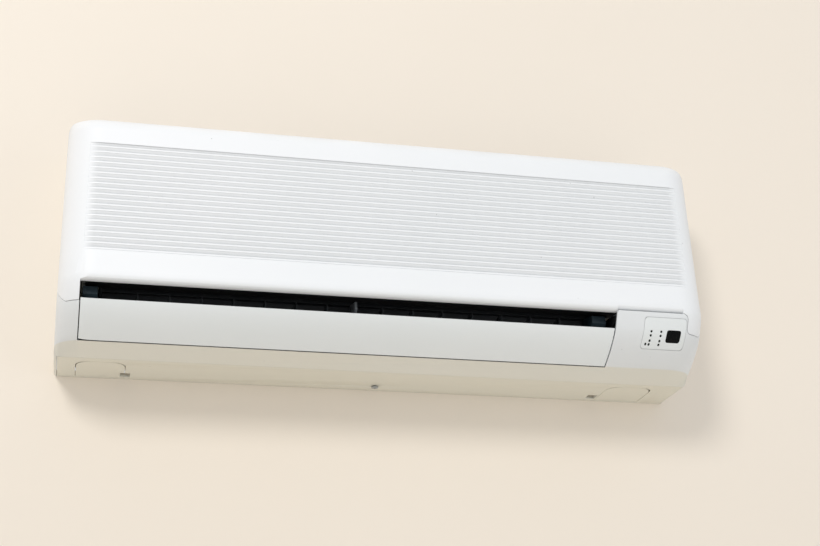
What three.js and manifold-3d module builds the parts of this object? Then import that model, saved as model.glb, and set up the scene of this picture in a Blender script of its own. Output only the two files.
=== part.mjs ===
// Wall-mounted indoor unit of a split air conditioner, millimetres, +Z up, front towards -Y.
// The origin is the middle of the mounting plate's back face, on the wall.
import * as THREE from 'three';
import { mergeVertices } from 'three/addons/utils/BufferGeometryUtils.js';
import Module from 'manifold-3d';

const wasm = await Module();
wasm.setup();

// ---- driving dimensions -------------------------------------------------------------------
// Heights below count up from the unit's lower rear edge; the whole unit hangs mountHeight lower.
const unitWidth = 800;
const halfWidth = unitWidth / 2;
const unitHeight = 293;
const mountHeight = 150;
const wallGap = 0.5;            // casing and chassis stay this far off the wall
const gap = 0.4;                // between pieces that touch
const seam = 0.8;               // open joint line between panel, casing and flap
const cornerRadius = 42;        // plan view, front corners
const topCornerRadius = 18;     // front view, upper corners
const bottomCornerRadius = 5;
const shellWall = 2.5;
const chassisWall = 3;
const chassisHalf = halfWidth - 4;

// side profile: y is the distance in front of the wall (negative), z the height
const faceTop = { y: -145.2, z: 256.1 };        // upper end of the grille
const faceFoot = { y: -168.4, z: 114.6 };       // lower end of the grille
const lipBottom = 74;                           // panel edge over the air outlet
const lipRadius = 8;
const lipFront = -175.2;
const topEdgeRadius = 30;                       // between the face and the top
const flapTop = { y: -166.2, z: 58.3 };
const flapBulge = { y: -150.5, z: 39.2 };       // the flap's face is slightly round
const flapFoot = { y: -122.0, z: 17.5 };
const crease = { y: -79.6, z: 6.1 };            // edge between casing and chassis, underneath

// panel
const panelRear = -110;                         // rear edge of its side flanges and top
const earBottom = 55.5;
const earTurn = -150;                           // from here the flange's lower edge climbs at 45 degrees
const panelHinge = { y: -112, z: 289.5 };
const hingePinRadius = 1.8;
const hingeInset = 88;                           // hinge pins from the unit's ends
const hingePlaces = [hingeInset - halfWidth, halfWidth - hingeInset - 12];
const hingeLugWidth = 4;
const hingePinLength = 9;
const displayTop = 78.5;                        // panel edge over the display area
const displayEarX = halfWidth - 30;
const earFlare = 5;

// grille
const slatCount = 20;
const grilleEnd = 27;                            // plain strip at each end of the grille
const grilleHalfWidth = halfWidth - grilleEnd;
const slatEdge = 2.4;
const slatDepth = 9;
const slatDrop = 5.8;
const slatWall = 1.5;
const grilleRibs = [-0.45, 0, 0.45].map((share) => share * halfWidth);
const grilleRibWall = 2;

// air outlet and flap
const compartment = 124.8;                       // electrics and pipes, right of the outlet
const outletLeft = 26 - halfWidth;
const outletRight = halfWidth - compartment;
const flapPivot = { y: -125.4, z: 34.3 };
const flapSweep = 18;                           // nothing fixed comes nearer to the flap's pivot in front
const flapHubRadius = 4.5;
const flapPinRadius = 2.5;
const flapArmWall = 3;

// fan
const fanCentre = { y: -78, z: 108 };
const fanRadius = 44;
const fanInnerRadius = 34;
const bladeCount = 24;
const bladeWall = 1.5;
const fanLeft = outletLeft + 22;
const fanRight = outletRight - 13.2;
const fanDiscs = 3;
const fanDiscWall = 3;
const shaftRadius = 4;
const leftShaft = 16;
const rightShaft = 24;

// air-turning vanes
const vanesPerBank = 7;
const postX = (outletLeft + outletRight) / 2;
const firstVane = 34;                            // from the centre post
const lastVane = 66.2;                           // from the outlet's end
const vanePitch = (outletRight - postX - firstVane - lastVane) / (vanesPerBank - 1);
const vanePivotY = -101;
const vaneTipY = -146;
const vaneTop = 72;
const vaneBottom = 56;
const vaneWall = 1.4;
const floorTop = 38;                            // duct floor
const bossHeight = 4.4;
const bossRadius = 4;
const pegRadius = 1.9;
const leverArm = 10;
const linkPinRadius = 1.2;
const linkWall = 2;

// evaporator
const coilThick = 20;
const coilLeft = outletLeft + 30;
const coilRight = outletRight - 21.2;
const coilFrontFoot = { y: -136, z: 93 };       // inner edge of the front slab
const coilFrontHead = { y: -114, z: 222 };
const coilRearHead = { y: -106, z: 226 };       // inner edge of the rear slab
const coilRearFoot = { y: -46, z: 172 };
const tubeRadius = 3.6;

// compartment at the right end
const sideWallX = outletLeft + 5;                // wall at the fan's free end
const bulkheadX = outletRight + 6.8;                          // wall between the air path and the electrics
const motorRadius = 36;
const motorLength = 44;

// ---- colours ------------------------------------------------------------------------------
const finish = (color, roughness, metalness = 0) => () =>
  new THREE.MeshStandardMaterial({ color, roughness, metalness });
const whitePlastic = finish(0xf2f3f3, 0.4);
const flapPlastic = finish(0xe4e6e6, 0.4);
const creamPlastic = finish(0xdedacb, 0.5);
const blackPlastic = finish(0x15171a, 0.6);
const slatePlastic = finish(0x2c3a42, 0.5);
const zincSteel = finish(0xb4b8ba, 0.4, 0.9);
const aluminiumFin = finish(0xc6cacc, 0.4, 0.9);
const copper = finish(0xb87333, 0.35, 1);
const brass = finish(0xc2a25a, 0.35, 1);
const rubber = finish(0x202020, 0.85);
const filterNet = finish(0x46505a, 0.8);
const greenBoard = finish(0x2f6b45, 0.6);
const windowPlastic = finish(0x0d1110, 0.15);
const greyPlastic = finish(0x9aa0a4, 0.6);

// ---- solids -------------------------------------------------------------------------------
function toSolid(geometry) {
  const bare = geometry.index ? geometry.toNonIndexed() : geometry.clone();
  bare.deleteAttribute('normal');
  bare.deleteAttribute('uv');
  const merged = mergeVertices(bare, 1e-4);
  const triVerts = new Uint32Array(merged.index.array);
  const vertProperties = new Float32Array(merged.attributes.position.array);
  return new wasm.Manifold(new wasm.Mesh({ numProp: 3, vertProperties, triVerts }));
}

function toGeometry(solid) {
  const mesh = solid.getMesh();
  const geometry = new THREE.BufferGeometry();
  geometry.setAttribute('position', new THREE.BufferAttribute(mesh.vertProperties, 3));
  geometry.setIndex(new THREE.BufferAttribute(mesh.triVerts, 1));
  geometry.computeVertexNormals();
  return geometry;
}

const joined = (solids) => solids.reduce((all, next) => all.add(next));
const cutBy = (solid, cutters) => cutters.reduce((rest, cutter) => rest.subtract(cutter), solid);

function box(x0, x1, y0, y1, z0, z1) {
  const geometry = new THREE.BoxGeometry(x1 - x0, y1 - y0, z1 - z0);
  return toSolid(geometry.translate((x0 + x1) / 2, (y0 + y1) / 2, (z0 + z1) / 2));
}

// an outline drawn in two axes and drawn out along the third, from start to end
function prism(outline, start, end, axes) {
  const shape = new THREE.Shape(outline.map(([a, b]) => new THREE.Vector2(a, b)));
  const geometry = new THREE.ExtrudeGeometry(shape, { depth: end - start, bevelEnabled: false });
  geometry.translate(0, 0, start);
  return toSolid(geometry.applyMatrix4(new THREE.Matrix4().makeBasis(...axes)));
}
const X = new THREE.Vector3(1, 0, 0);
const Y = new THREE.Vector3(0, 1, 0);
const Z = new THREE.Vector3(0, 0, 1);
const alongX = (outline, x0, x1) => prism(outline, x0, x1, [Y, Z, X]);              // outline in y, z
const alongZ = (outline, z0, z1) => prism(outline, z0, z1, [X, Y, Z]);              // outline in x, y
const alongY = (outline, y0, y1) =>                                                 // outline in x, z
  prism(outline, -y1, -y0, [X, Z, Y.clone().negate()]);

function rodX(y, z, radius, x0, x1, sides = 16) {
  const geometry = new THREE.CylinderGeometry(radius, radius, x1 - x0, sides);
  return toSolid(geometry.rotateZ(-Math.PI / 2).translate((x0 + x1) / 2, y, z));
}
function rodY(x, z, radius, y0, y1, sides = 16) {
  const geometry = new THREE.CylinderGeometry(radius, radius, y1 - y0, sides);
  return toSolid(geometry.translate(x, (y0 + y1) / 2, z));
}
function rodZ(x, y, radius, z0, z1, sides = 16) {
  const geometry = new THREE.CylinderGeometry(radius, radius, z1 - z0, sides);
  return toSolid(geometry.rotateX(Math.PI / 2).translate(x, y, (z0 + z1) / 2));
}

// points of an arc about (a, b) from one angle to another, in degrees
function arc(a, b, radius, from, to, steps = 5) {
  return Array.from({ length: steps + 1 }, (_, i) => {
    const angle = THREE.MathUtils.degToRad(from + ((to - from) * i) / steps);
    return [a + radius * Math.cos(angle), b + radius * Math.sin(angle)];
  });
}

function roundedRect(x0, x1, z0, z1, radius) {
  return [
    ...arc(x1 - radius, z1 - radius, radius, 0, 90, 4),
    ...arc(x0 + radius, z1 - radius, radius, 90, 180, 4),
    ...arc(x0 + radius, z0 + radius, radius, 180, 270, 4),
    ...arc(x1 - radius, z0 + radius, radius, 270, 360, 4),
  ];
}

// a skin through the same outline (y, z) at each station along X, closed at both ends
function loft(stations, outlineAt) {
  const rings = stations.map((x) => {
    const ring = outlineAt(x).map(([y, z]) => new THREE.Vector2(y, z));
    if (THREE.ShapeUtils.isClockWise(ring)) ring.reverse();
    return ring.map((point) => [x, point.x, point.y]);
  });
  const count = rings[0].length;
  const position = rings.flat(2);
  const index = [];
  for (let s = 0; s < rings.length - 1; s += 1) {
    for (let i = 0; i < count; i += 1) {
      const a = s * count + i;
      const b = s * count + ((i + 1) % count);
      index.push(a, b, a + count, b, b + count, a + count);
    }
  }
  const capAt = (s, flip) => {
    const flat = rings[s].map(([, y, z]) => new THREE.Vector2(y, z));
    for (const [a, b, c] of THREE.ShapeUtils.triangulateShape(flat, [])) {
      const face = flip ? [c, b, a] : [a, b, c];
      index.push(...face.map((corner) => s * count + corner));
    }
  };
  capAt(0, true);
  capAt(rings.length - 1, false);
  const geometry = new THREE.BufferGeometry();
  geometry.setAttribute('position', new THREE.Float32BufferAttribute(position, 3));
  geometry.setIndex(index);
  return toSolid(geometry);
}

// ---- the outer form -----------------------------------------------------------------------
const faceSlope = (faceTop.y - faceFoot.y) / (faceTop.z - faceFoot.z);
const faceAngle = Math.atan(faceSlope);
const faceY = (z) => faceTop.y + faceSlope * (z - faceTop.z);

// how far the front is drawn back at a distance x from the middle
function drawnBack(x, inset) {
  const radius = cornerRadius - inset;
  const past = Math.abs(x) - (unitWidth / 2 - cornerRadius);
  return past <= 0 ? 0 : radius - Math.sqrt(Math.max(0, radius * radius - past * past));
}

// outline of the closed outer form, moved inwards by an inset
function outerOutline(x, inset) {
  const top = unitHeight - inset;
  const radius = topEdgeRadius - inset;
  const centreZ = unitHeight - topEdgeRadius;
  const centreY = faceY(centreZ) + topEdgeRadius / Math.cos(faceAngle);
  const turn = THREE.MathUtils.radToDeg(faceAngle);
  const lower = inset * 0.6;
  const front = [
    ...arc(centreY, centreZ, radius, 90, 180 - turn, 6),
    [faceFoot.y + inset, faceFoot.z],
    [lipFront + 0.9 + inset, lipBottom + 7],
    [lipFront + 1.6 + inset, lipBottom],
    [flapTop.y + inset * 0.9, flapTop.z + lower],
    [flapBulge.y + inset * 0.75, flapBulge.z + inset * 0.75],
    [flapFoot.y + lower, flapFoot.z + inset],
  ];
  const back = [
    [crease.y, crease.z + inset],
    [-wallGap, inset + 0.01],
    [-wallGap, top],
  ];
  const shift = drawnBack(x, inset);
  const drawn = ([y, z]) => [Math.min(y + shift, -wallGap - 1), z];
  return [...front.map(drawn), ...back];
}

function cornerStations(inset, half = unitWidth / 2 - inset) {
  const radius = cornerRadius - inset;
  const bend = unitWidth / 2 - cornerRadius;
  const steps = [0, 18, 36, 54, 70, 90].map((angle) => (
    Math.sin(THREE.MathUtils.degToRad(angle)) * radius + bend
  ));
  const right = steps.filter((x) => x < half);
  right.push(half);
  return [...right.map((x) => -x).reverse(), ...right];
}

// the rounded outline of the front view keeps the upper corners soft
function outerForm(inset) {
  const body = loft(cornerStations(inset), (x) => outerOutline(x, inset));
  const half = unitWidth / 2 - inset;
  const upper = topCornerRadius - inset;
  const lower = Math.max(bottomCornerRadius - inset, 1);
  const frame = [
    ...arc(half - upper, unitHeight - inset - upper, upper, 0, 90, 4),
    ...arc(-half + upper, unitHeight - inset - upper, upper, 90, 180, 4),
    ...arc(-half + lower, inset + lower, lower, 180, 270, 2),
    ...arc(half - lower, inset + lower, lower, 270, 360, 2),
  ];
  return body.intersect(alongY(frame, -300, 10));
}

const outer = outerForm(0);
const inner = outerForm(shellWall);
const shell = outer.subtract(inner);
const room = outerForm(shellWall + gap);

const unit = new THREE.Group();
unit.position.z = -mountHeight;

function addPart(name, solid, material) {
  const mesh = new THREE.Mesh(toGeometry(solid), material());
  mesh.name = name;
  unit.add(mesh);
}

// a point off the sloping face plane: n mm inside it, at height z
const insideFace = (n, z) => [faceY(z) + n / Math.cos(faceAngle), z];

// ---- front panel --------------------------------------------------------------------------
// the part of the outer form that the panel takes, seen from the side; grow opens the joint line
const panelSide = (grow) => [
  [-300, earBottom - grow],
  [earTurn + grow * 0.4, earBottom - grow],
  [panelRear + grow, earBottom + panelRear - earTurn],
  [panelRear + grow, panelHinge.z - 2.5],
  [panelRear + grow * 3, panelHinge.z - 2.5],
  [panelRear + grow * 3, 400],
  [-300, 400],
];

// what the panel leaves open below: the air outlet and the display area
const panelMouth = (shrink) => [
  [outletLeft - 0.5 + shrink, 20],
  [outletLeft - 0.5 + shrink, lipBottom - shrink],
  [outletRight + 0.3 + shrink, lipBottom - shrink],
  [outletRight + 0.3 + shrink, displayTop - shrink],
  ...arc(displayEarX - lipRadius, displayTop - lipRadius, lipRadius - shrink, 90, 0, 4),
  ...arc(displayEarX + earFlare, earBottom + earFlare, earFlare + shrink, 180, 270, 3),
  [displayEarX + earFlare, 20],
];

// the turned-in lower edge, rounded in front
function lip(x0, x1, bottom) {
  const bar = [
    [-300, bottom],
    [lipFront + 11.5, bottom],
    [lipFront + 11.5, bottom + 2.5],
    [lipFront + 4, bottom + 12],
    [-300, bottom + 12],
  ];
  return outer.intersect(alongX(bar, x0, x1));
}
function lipRounding(x0, x1, bottom) {
  const front = lipFront + 0.6;
  const bend = arc(front + lipRadius, bottom + lipRadius, lipRadius, 180, 270, 5);
  return alongX(
    [[-300, bottom + lipRadius], ...bend, [front + lipRadius, bottom - 20], [-300, bottom - 20]], x0, x1,
  );
}

function slat(index) {
  const pitch = (faceTop.z - faceFoot.z) / slatCount;
  const foot = faceFoot.z + index * pitch + 0.6;
  const bend = unitWidth / 2 - cornerRadius;
  const stations = [-grilleHalfWidth - 2, -bend - 8, -bend, bend, bend + 8, grilleHalfWidth + 2];
  return loft(stations, (x) => {
    const back = drawnBack(x, 0);
    const at = (n, rise) => {
      const [y, z] = insideFace(n, foot + rise);
      return [y + back, z];
    };
    return [
      at(0.3, 0), at(0.8, slatEdge), at(slatDepth, slatEdge - slatDrop),
      at(slatDepth, slatEdge - slatDrop - slatWall),
    ];
  });
}

function grilleWindow() {
  const outline = [[-300, faceFoot.z], [-100, faceFoot.z], [-100, faceTop.z], [-300, faceTop.z]];
  return alongX(outline, -grilleHalfWidth, grilleHalfWidth);
}

function grilleRib(x) {
  const low = faceFoot.z - 4;
  const high = faceTop.z + 4;
  const outline = [
    insideFace(5, low), insideFace(5, high), insideFace(slatDepth + 1, high), insideFace(slatDepth + 1, low),
  ];
  return alongX(outline, x - grilleRibWall / 2, x + grilleRibWall / 2);
}

// the ribs' ends reach the panel through a rail above and below the window
function grilleRail(z, height) {
  const deep = slatDepth + 1;
  const outline = [
    insideFace(1.5, z), insideFace(1.5, z + height), insideFace(deep, z + height), insideFace(deep, z),
  ];
  const half = grilleHalfWidth - 28;
  return alongX(outline, -half, half);
}

function hingeLug(x) {
  const lug = box(
    x, x + hingeLugWidth, panelHinge.y - 2.5, panelHinge.y + 2, panelHinge.z - 2.5, unitHeight - 1,
  );
  const pin = rodX(
    panelHinge.y, panelHinge.z - 0.2, hingePinRadius, x + 1, x + hingeLugWidth + hingePinLength, 12,
  );
  return lug.add(pin);
}

function frontPanel() {
  const skin = shell.intersect(alongX(panelSide(0), -unitWidth, unitWidth));
  const mouth = alongY(panelMouth(0), -300, 0);
  const open = skin.subtract(mouth).subtract(grilleWindow());
  const lipEnd = displayEarX + 8;
  const edges = lip(outletLeft - 8, outletRight + 6, lipBottom).add(lip(outletRight, lipEnd, displayTop));
  const slats = Array.from({ length: slatCount }, (_, index) => slat(index));
  const rails = [grilleRail(faceFoot.z - 4, 3), grilleRail(faceTop.z + 1, 3)];
  const body = joined([open, edges.intersect(outer), ...slats, ...rails, ...grilleRibs.map(grilleRib)]);
  const trimmed = cutBy(body, [
    lipRounding(outletLeft - 0.5, outletRight + 0.3, lipBottom),
    lipRounding(outletRight + 0.3, displayEarX - lipRadius, displayTop),
  ]);
  return joined([trimmed, ...hingePlaces.map(hingeLug)]);
}
addPart('front_panel', frontPanel(), whitePlastic);

// ---- front casing -------------------------------------------------------------------------
const outletBox = () => alongX(
  [[-300, 110], [-300, -20], [flapFoot.y + 0.6, -20], [flapFoot.y + 0.6, 26], [-98, 46], [-98, 110]],
  outletLeft, outletRight,
);
const flapClearance = () => rodX(flapPivot.y, flapPivot.z, flapSweep, outletLeft, outletRight, 32);

function topSlots() {
  const rows = 5;
  const columns = 7;
  const bar = 6;
  const x0 = 28 - halfWidth;
  const width = (2 * -x0 - bar * (columns - 1)) / columns;
  const y0 = -98;
  const depth = (-22 - y0 - bar * (rows - 1)) / rows;
  const slots = [];
  for (let column = 0; column < columns; column += 1) {
    for (let row = 0; row < rows; row += 1) {
      const x = x0 + column * (width + bar);
      const y = y0 + row * (depth + bar);
      slots.push(box(x, x + width, y, y + depth, unitHeight - 10, unitHeight + 5));
    }
  }
  return slots;
}

// rails in front of the coil that hold the filters' side edges
const railGap = 13.2;
const railWall = 2;
const filterFoot = 110;
const filterHead = 262;
const filterEdges = [
  [sideWallX, sideWallX + 12], [postX - 6.6, postX + 5.4], [bulkheadX - 16, bulkheadX - 4],
];
function filterRail([x0, x1]) {
  const ends = [insideFace(railGap, 100), insideFace(railGap, 270)];
  const backs = [insideFace(railGap + railWall, 270), insideFace(railGap + railWall, 100)];
  return alongX([...ends, ...backs], x0, x1);
}

// a cross member at the top and at the bottom of the front opening, which the rails join
function crossRail(z, height) {
  const outline = [
    insideFace(railGap, z), insideFace(railGap, z + height),
    insideFace(railGap + railWall, z + height), insideFace(railGap + railWall, z),
  ];
  return alongX(outline, -unitWidth / 2 + 1, unitWidth / 2 - 1);
}

// brackets under the top front edge, open in front, that the panel's hinge pins snap into
function hingeBracket(x) {
  const near = x + hingeLugWidth + 1.5;
  const far = near + 5;
  const reach = hingePinRadius + gap;
  const body = [
    [panelHinge.y - 4.5, panelHinge.z - 8],
    [panelRear + 8, panelHinge.z - 8],
    [panelRear + 8, unitHeight - 1],
    [panelRear + 4, unitHeight - 1],
    [panelRear + 4, panelHinge.z - 2.6],
    [panelHinge.y - 4.5, panelHinge.z - 3.2],
  ];
  const seat = rodX(panelHinge.y, panelHinge.z - 0.2, reach, near - 1, far + 1, 16);
  const hook = [
    [panelHinge.y - 5.2, panelHinge.z - 8],
    [panelHinge.y - 2.4, panelHinge.z - 8],
    [panelHinge.y - 2.4, panelHinge.z],
    [panelHinge.y - 4.2, panelHinge.z],
  ];
  return alongX(body, near, far).add(alongX(hook, near, far)).subtract(seat);
}

// the display cover's outline in the front view
const display = { x0: halfWidth - 88, x1: halfWidth - 32, z0: 37, z1: 71.7 };
const displayHole = (grow) => alongY(
  roundedRect(display.x0 - grow, display.x1 + grow, display.z0 - grow, display.z1 + grow, 4), -300, -120,
);

// carries the filter frame on the side wall
function cheek(side) {
  const rear = -70;
  const outline = [
    insideFace(railGap + 0.7, 101), [rear, 101], [rear, 270], insideFace(railGap + 0.7, 270),
  ];
  const x = side * (halfWidth - 20.6);
  const wall = alongX(outline, x - 1, x + 1);
  const end = side * (unitWidth / 2 - 1);
  return wall.add(box(Math.min(x, end), Math.max(x, end), rear - 2, rear + 0.5, 101.5, 269.5));
}

// ties the top of the filter frame to the top of the casing
function topTie(x) {
  const outline = [
    insideFace(railGap, 264), [-96, 264], [-96, unitHeight - 1], [panelRear + 4, unitHeight - 1],
    [panelRear + 2, 276], insideFace(railGap, 271),
  ];
  return alongX(outline, x - 1, x + 1);
}

function frontCasing() {
  const panelPart = alongX(panelSide(seam), -unitWidth, unitWidth).subtract(alongY(
    panelMouth(seam), -300, 0,
  ));
  const skin = shell.subtract(panelPart);
  const chassisPart = box(-chassisHalf - 0.6, chassisHalf + 0.6, crease.y - 0.3, 20, -20, 30);
  const cutSkin = cutBy(skin, [outletBox(), chassisPart, displayHole(gap), ...topSlots()]);
  const frame = joined([...filterEdges.map(filterRail), crossRail(266, 5), crossRail(100, 6)])
    .intersect(room);
  const ties = joined([cheek(-1), cheek(1), ...[outletLeft, postX - 0.6, outletRight - 3.2].map(topTie)])
    .intersect(outer);
  const brackets = hingePlaces.map(hingeBracket);
  return joined([cutSkin, frame, ties, ...brackets]).subtract(flapClearance());
}
addPart('front_casing', frontCasing(), whitePlastic);

// ---- display ------------------------------------------------------------------------------
const receiver = { x0: display.x0 + 30, x1: display.x0 + 51, z0: 44, z1: 56.5 };
const indicatorColumns = [
  { x: display.x0 + 10, heights: [55.5, 51, 45.4, 41.5] },
  { x: display.x0 + 23, heights: [55.6, 51, 45.5, 41.6] },
];
const indicatorRadius = 0.9;
const receiverCut = (grow) => alongY(
  roundedRect(receiver.x0 - grow, receiver.x1 + grow, receiver.z0 - grow, receiver.z1 + grow, 2.5),
  -300, -120,
);

function displayCover() {
  const lights = indicatorColumns.flatMap(({ x, heights }) =>
    heights.map((z) => rodY(x, z, indicatorRadius, -300, -120, 6)));
  return cutBy(shell.intersect(displayHole(0)), [receiverCut(0), ...lights]);
}
addPart('display_cover', displayCover(), flapPlastic);
addPart('receiver_window', shell.intersect(receiverCut(-gap / 2)), windowPlastic);

// the board lies behind the cover, parallel to its slope
function displayBoard() {
  const run = new THREE.Vector2(flapBulge.y - flapTop.y, flapBulge.z - flapTop.z);
  const along = run.clone().normalize();
  const inward = new THREE.Vector2(-along.y, along.x);
  const boardWall = 1.6;
  const at = (down, deep) => {
    const point = new THREE.Vector2(flapTop.y, flapTop.z)
      .addScaledVector(along, down)
      .addScaledVector(inward, deep);
    return [point.x, point.y];
  };
  const near = shellWall + 4 * gap;
  const outline = [at(1, near), at(22, near), at(22, near + boardWall), at(1, near + boardWall)];
  return alongX(outline, display.x0 - 6, display.x1 - 2);
}
addPart('display_board', displayBoard(), greenBoard);

// ---- outlet duct --------------------------------------------------------------------------
const ductWall = 2.4;
const floorRear = -62;
const floorFront = -104.6;
const vaneXs = (side) => Array.from(
  { length: vanesPerBank }, (_, k) => postX + side * (firstVane + k * vanePitch),
);
const linkPinY = vanePivotY + leverArm;
const coverBottom = 79.5;                         // underside of the drain pan over the duct

function ductSide(x0, x1) {
  const outline = [
    [floorRear, 30], [floorFront, 30], [-108, 36], [-108, 50], [-128, 58], [-150, 62],
    [-164, 68], [-164, 72], [-152, coverBottom - 4], [floorRear, coverBottom - 4],
  ];
  return alongX(outline, x0, x1).subtract(rodX(
    fanCentre.y, fanCentre.z, fanRadius + 6, x0 - 1, x1 + 1, 32,
  ));
}

function vaneBoss(x) {
  return rodZ(x, vanePivotY, bossRadius, floorTop - 1, floorTop + bossHeight, 8);
}
function vaneSocket(x) {
  return rodZ(x, vanePivotY, pegRadius + gap, floorTop - ductWall - 1, floorTop + bossHeight + 1, 8);
}

function outletDuct() {
  const x0 = outletLeft - 0.6;
  const x1 = outletRight + 0.6;
  const floor = box(x0, x1, floorFront, floorRear, floorTop - ductWall, floorTop);
  const sides = [ductSide(x0 - ductWall, x0), ductSide(x1, x1 + ductWall)];
  const places = [...vaneXs(-1), ...vaneXs(1)];
  const body = joined([floor, ...sides.map((side) => side.intersect(room)), ...places.map(vaneBoss)]);
  const shaftHole = rodX(flapPivot.y, flapPivot.z, flapPinRadius + gap, x1 - 1, x1 + ductWall + 1, 16);
  return cutBy(body, [...places.map(vaneSocket), shaftHole]);
}
addPart('outlet_duct', outletDuct(), blackPlastic);

// blocks at the duct's ends and a post in its middle, all with an eye for the flap's pins
const postOutline = [
  [-119.5, 41], [-106.5, floorTop + gap], [-106.5, 68], [-115, coverBottom - gap], [-148, coverBottom - 4],
  [-150, 66], [-137, 55], [-131, 42],
];
function flapPost(x0, x1) {
  const eye = rodX(flapPivot.y, flapPivot.z, flapHubRadius + 1, x0, x1, 20);
  const hole = rodX(flapPivot.y, flapPivot.z, flapPinRadius + gap, x0 - 1, x1 + 1, 16);
  const stem = alongX([[-131, 36], [-119.5, 34], [-116, 44], [-133, 46]], x0, x1);
  return joined([alongX(postOutline, x0, x1), eye, stem]).subtract(hole);
}
const blockLeft = { x0: outletLeft + 3, x1: outletLeft + 20 };
const blockRight = { x0: outletRight - 25.2, x1: outletRight - 7.2 };
const postWall = 3;
addPart('flap_bearing_left', flapPost(blockLeft.x0, blockLeft.x1), slatePlastic);
addPart('flap_bearing_right', flapPost(blockRight.x0, blockRight.x1), slatePlastic);
addPart('centre_post', flapPost(postX - postWall / 2, postX + postWall / 2), greyPlastic);

// ---- flap ---------------------------------------------------------------------------------
function flapRegion() {
  const top = new THREE.Vector2(flapTop.y, flapTop.z);
  const middle = new THREE.Vector2(flapBulge.y, flapBulge.z);
  const foot = new THREE.Vector2(flapFoot.y, flapFoot.z);
  const upper = middle.clone().sub(top).normalize();
  const lower = foot.clone().sub(middle).normalize();
  const start = foot.clone().addScaledVector(lower, -seam);
  const off = (point, along, deep) => [point.x - along.y * deep, point.y + along.x * deep];
  return [
    off(top, upper, -20), off(top, upper, 6), off(middle, upper, 6), off(start, lower, 6),
    off(start, lower, -20),
  ];
}

// webs between the flap's face and its pins
function flapArm(x) {
  const outline = [
    [flapPivot.y + 3, flapPivot.z - flapHubRadius - 1], [flapPivot.y + 3, flapPivot.z + 2],
    [flapPivot.y - 3, flapPivot.z + flapHubRadius - 1], [flapPivot.y - 22, flapPivot.z + 14],
    [flapPivot.y - 16, flapPivot.z + 1], [flapPivot.y - 4, flapPivot.z - 10.6],
  ];
  const x1 = x + flapArmWall;
  return alongX(outline, x, x1).add(rodX(flapPivot.y, flapPivot.z, flapHubRadius, x, x1, 16));
}

function outletFlap() {
  const face = shell.intersect(alongX(flapRegion(), outletLeft + seam, outletRight - seam));
  const pin = (x0, x1) => rodX(flapPivot.y, flapPivot.z, flapPinRadius, x0, x1, 12);
  const besidePost = postWall / 2 + 1;
  const arms = [
    blockLeft.x1 + 1, postX - besidePost - flapArmWall, postX + besidePost, blockRight.x0 - 1 - flapArmWall,
  ].map(flapArm);
  const pins = [
    pin(blockLeft.x1 - 10, blockLeft.x1 + 2),
    pin(postX - besidePost - 1, postX + besidePost + 1),
    pin(blockRight.x0 - 2, outletRight + 9),
  ];
  return joined([face, ...arms, ...pins]);
}
addPart('outlet_flap', outletFlap(), flapPlastic);

function flapMotor() {
  const x0 = outletRight + 0.6 + ductWall + gap;
  const body = rodX(flapPivot.y + 4, flapPivot.z + 4, 14, x0 + 4, x0 + 22, 24);
  const coupling = rodX(flapPivot.y, flapPivot.z, 5, x0, x0 + 5, 16);
  const socket = rodX(flapPivot.y, flapPivot.z, flapPinRadius + gap, x0 - 1, outletRight + 9 + gap, 16);
  return body.add(coupling).subtract(socket).intersect(room);
}
addPart('flap_motor', flapMotor(), greyPlastic);

// ---- air-turning vanes --------------------------------------------------------------------
const leverZ0 = floorTop + bossHeight + gap;
const leverZ1 = leverZ0 + 2.4;

function vane(x) {
  const blade = [
    [vanePivotY + 4, leverZ0], [vanePivotY + 5, 60], [vanePivotY - 10, 70], [vaneTipY + 4, vaneTop],
    [vaneTipY, vaneTop - 4], [vaneTipY + 5, 60], [vanePivotY - 14, vaneBottom], [vanePivotY - 3.4, 50],
    [vanePivotY - 3.4, leverZ0],
  ];
  const plate = alongX(blade, x - vaneWall / 2, x + vaneWall / 2);
  const lever = box(x - 2, x + 2, vanePivotY - 2, linkPinY + 2, leverZ0, leverZ1);
  const peg = rodZ(x, vanePivotY, pegRadius, floorTop - ductWall, leverZ0 + 1, 8);
  const pin = rodZ(x, linkPinY, linkPinRadius, floorTop + 0.6, leverZ0 + 1, 6);
  return joined([plate, lever, peg, pin]);
}

// bar with one cross slot for each vane's pin and a knob to push
function linkBar(xs) {
  const z0 = floorTop + 1.6;
  const y0 = linkPinY - 5;
  const y1 = linkPinY + 3.6;
  const low = Math.min(...xs) - 8;
  const high = Math.max(...xs) + 8;
  const bar = box(low, high, y0, y1, z0, z0 + linkWall);
  const slotHalf = linkPinRadius + 0.5;
  const slots = xs.map((x) => box(
    x - slotHalf, x + slotHalf, linkPinY - linkPinRadius - 2.2, linkPinY + linkPinRadius + 0.6,
    z0 - 1, z0 + linkWall + 1,
  ));
  return cutBy(bar, slots);
}

const bankLeft = vaneXs(-1).reverse();
const bankRight = vaneXs(1);
addPart('vane_link_left', linkBar(bankLeft), greyPlastic);
addPart('vane_link_right', linkBar(bankRight), greyPlastic);
[...bankLeft, ...bankRight].forEach((x, index) => {
  addPart(`vane_${String(index + 1).padStart(2, '0')}`, vane(x), blackPlastic);
});

// ---- fan ----------------------------------------------------------------------------------
function fanBlade(index) {
  const turn = (360 / bladeCount) * index;
  const at = (radius, angle) => {
    const a = THREE.MathUtils.degToRad(turn + angle);
    return [fanCentre.y + radius * Math.cos(a), fanCentre.z + radius * Math.sin(a)];
  };
  const thick = THREE.MathUtils.radToDeg(bladeWall / fanRadius);
  const middle = (fanRadius + fanInnerRadius) / 2;
  const outline = [
    at(fanInnerRadius, 0), at(middle, 1.5), at(fanRadius - 0.5, 8),
    at(fanRadius - 0.5, 8 + thick), at(middle, 1.5 + thick * 1.4), at(fanInnerRadius, thick * 1.2),
  ];
  return alongX(outline, fanLeft + 1, fanRight - 1);
}

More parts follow.
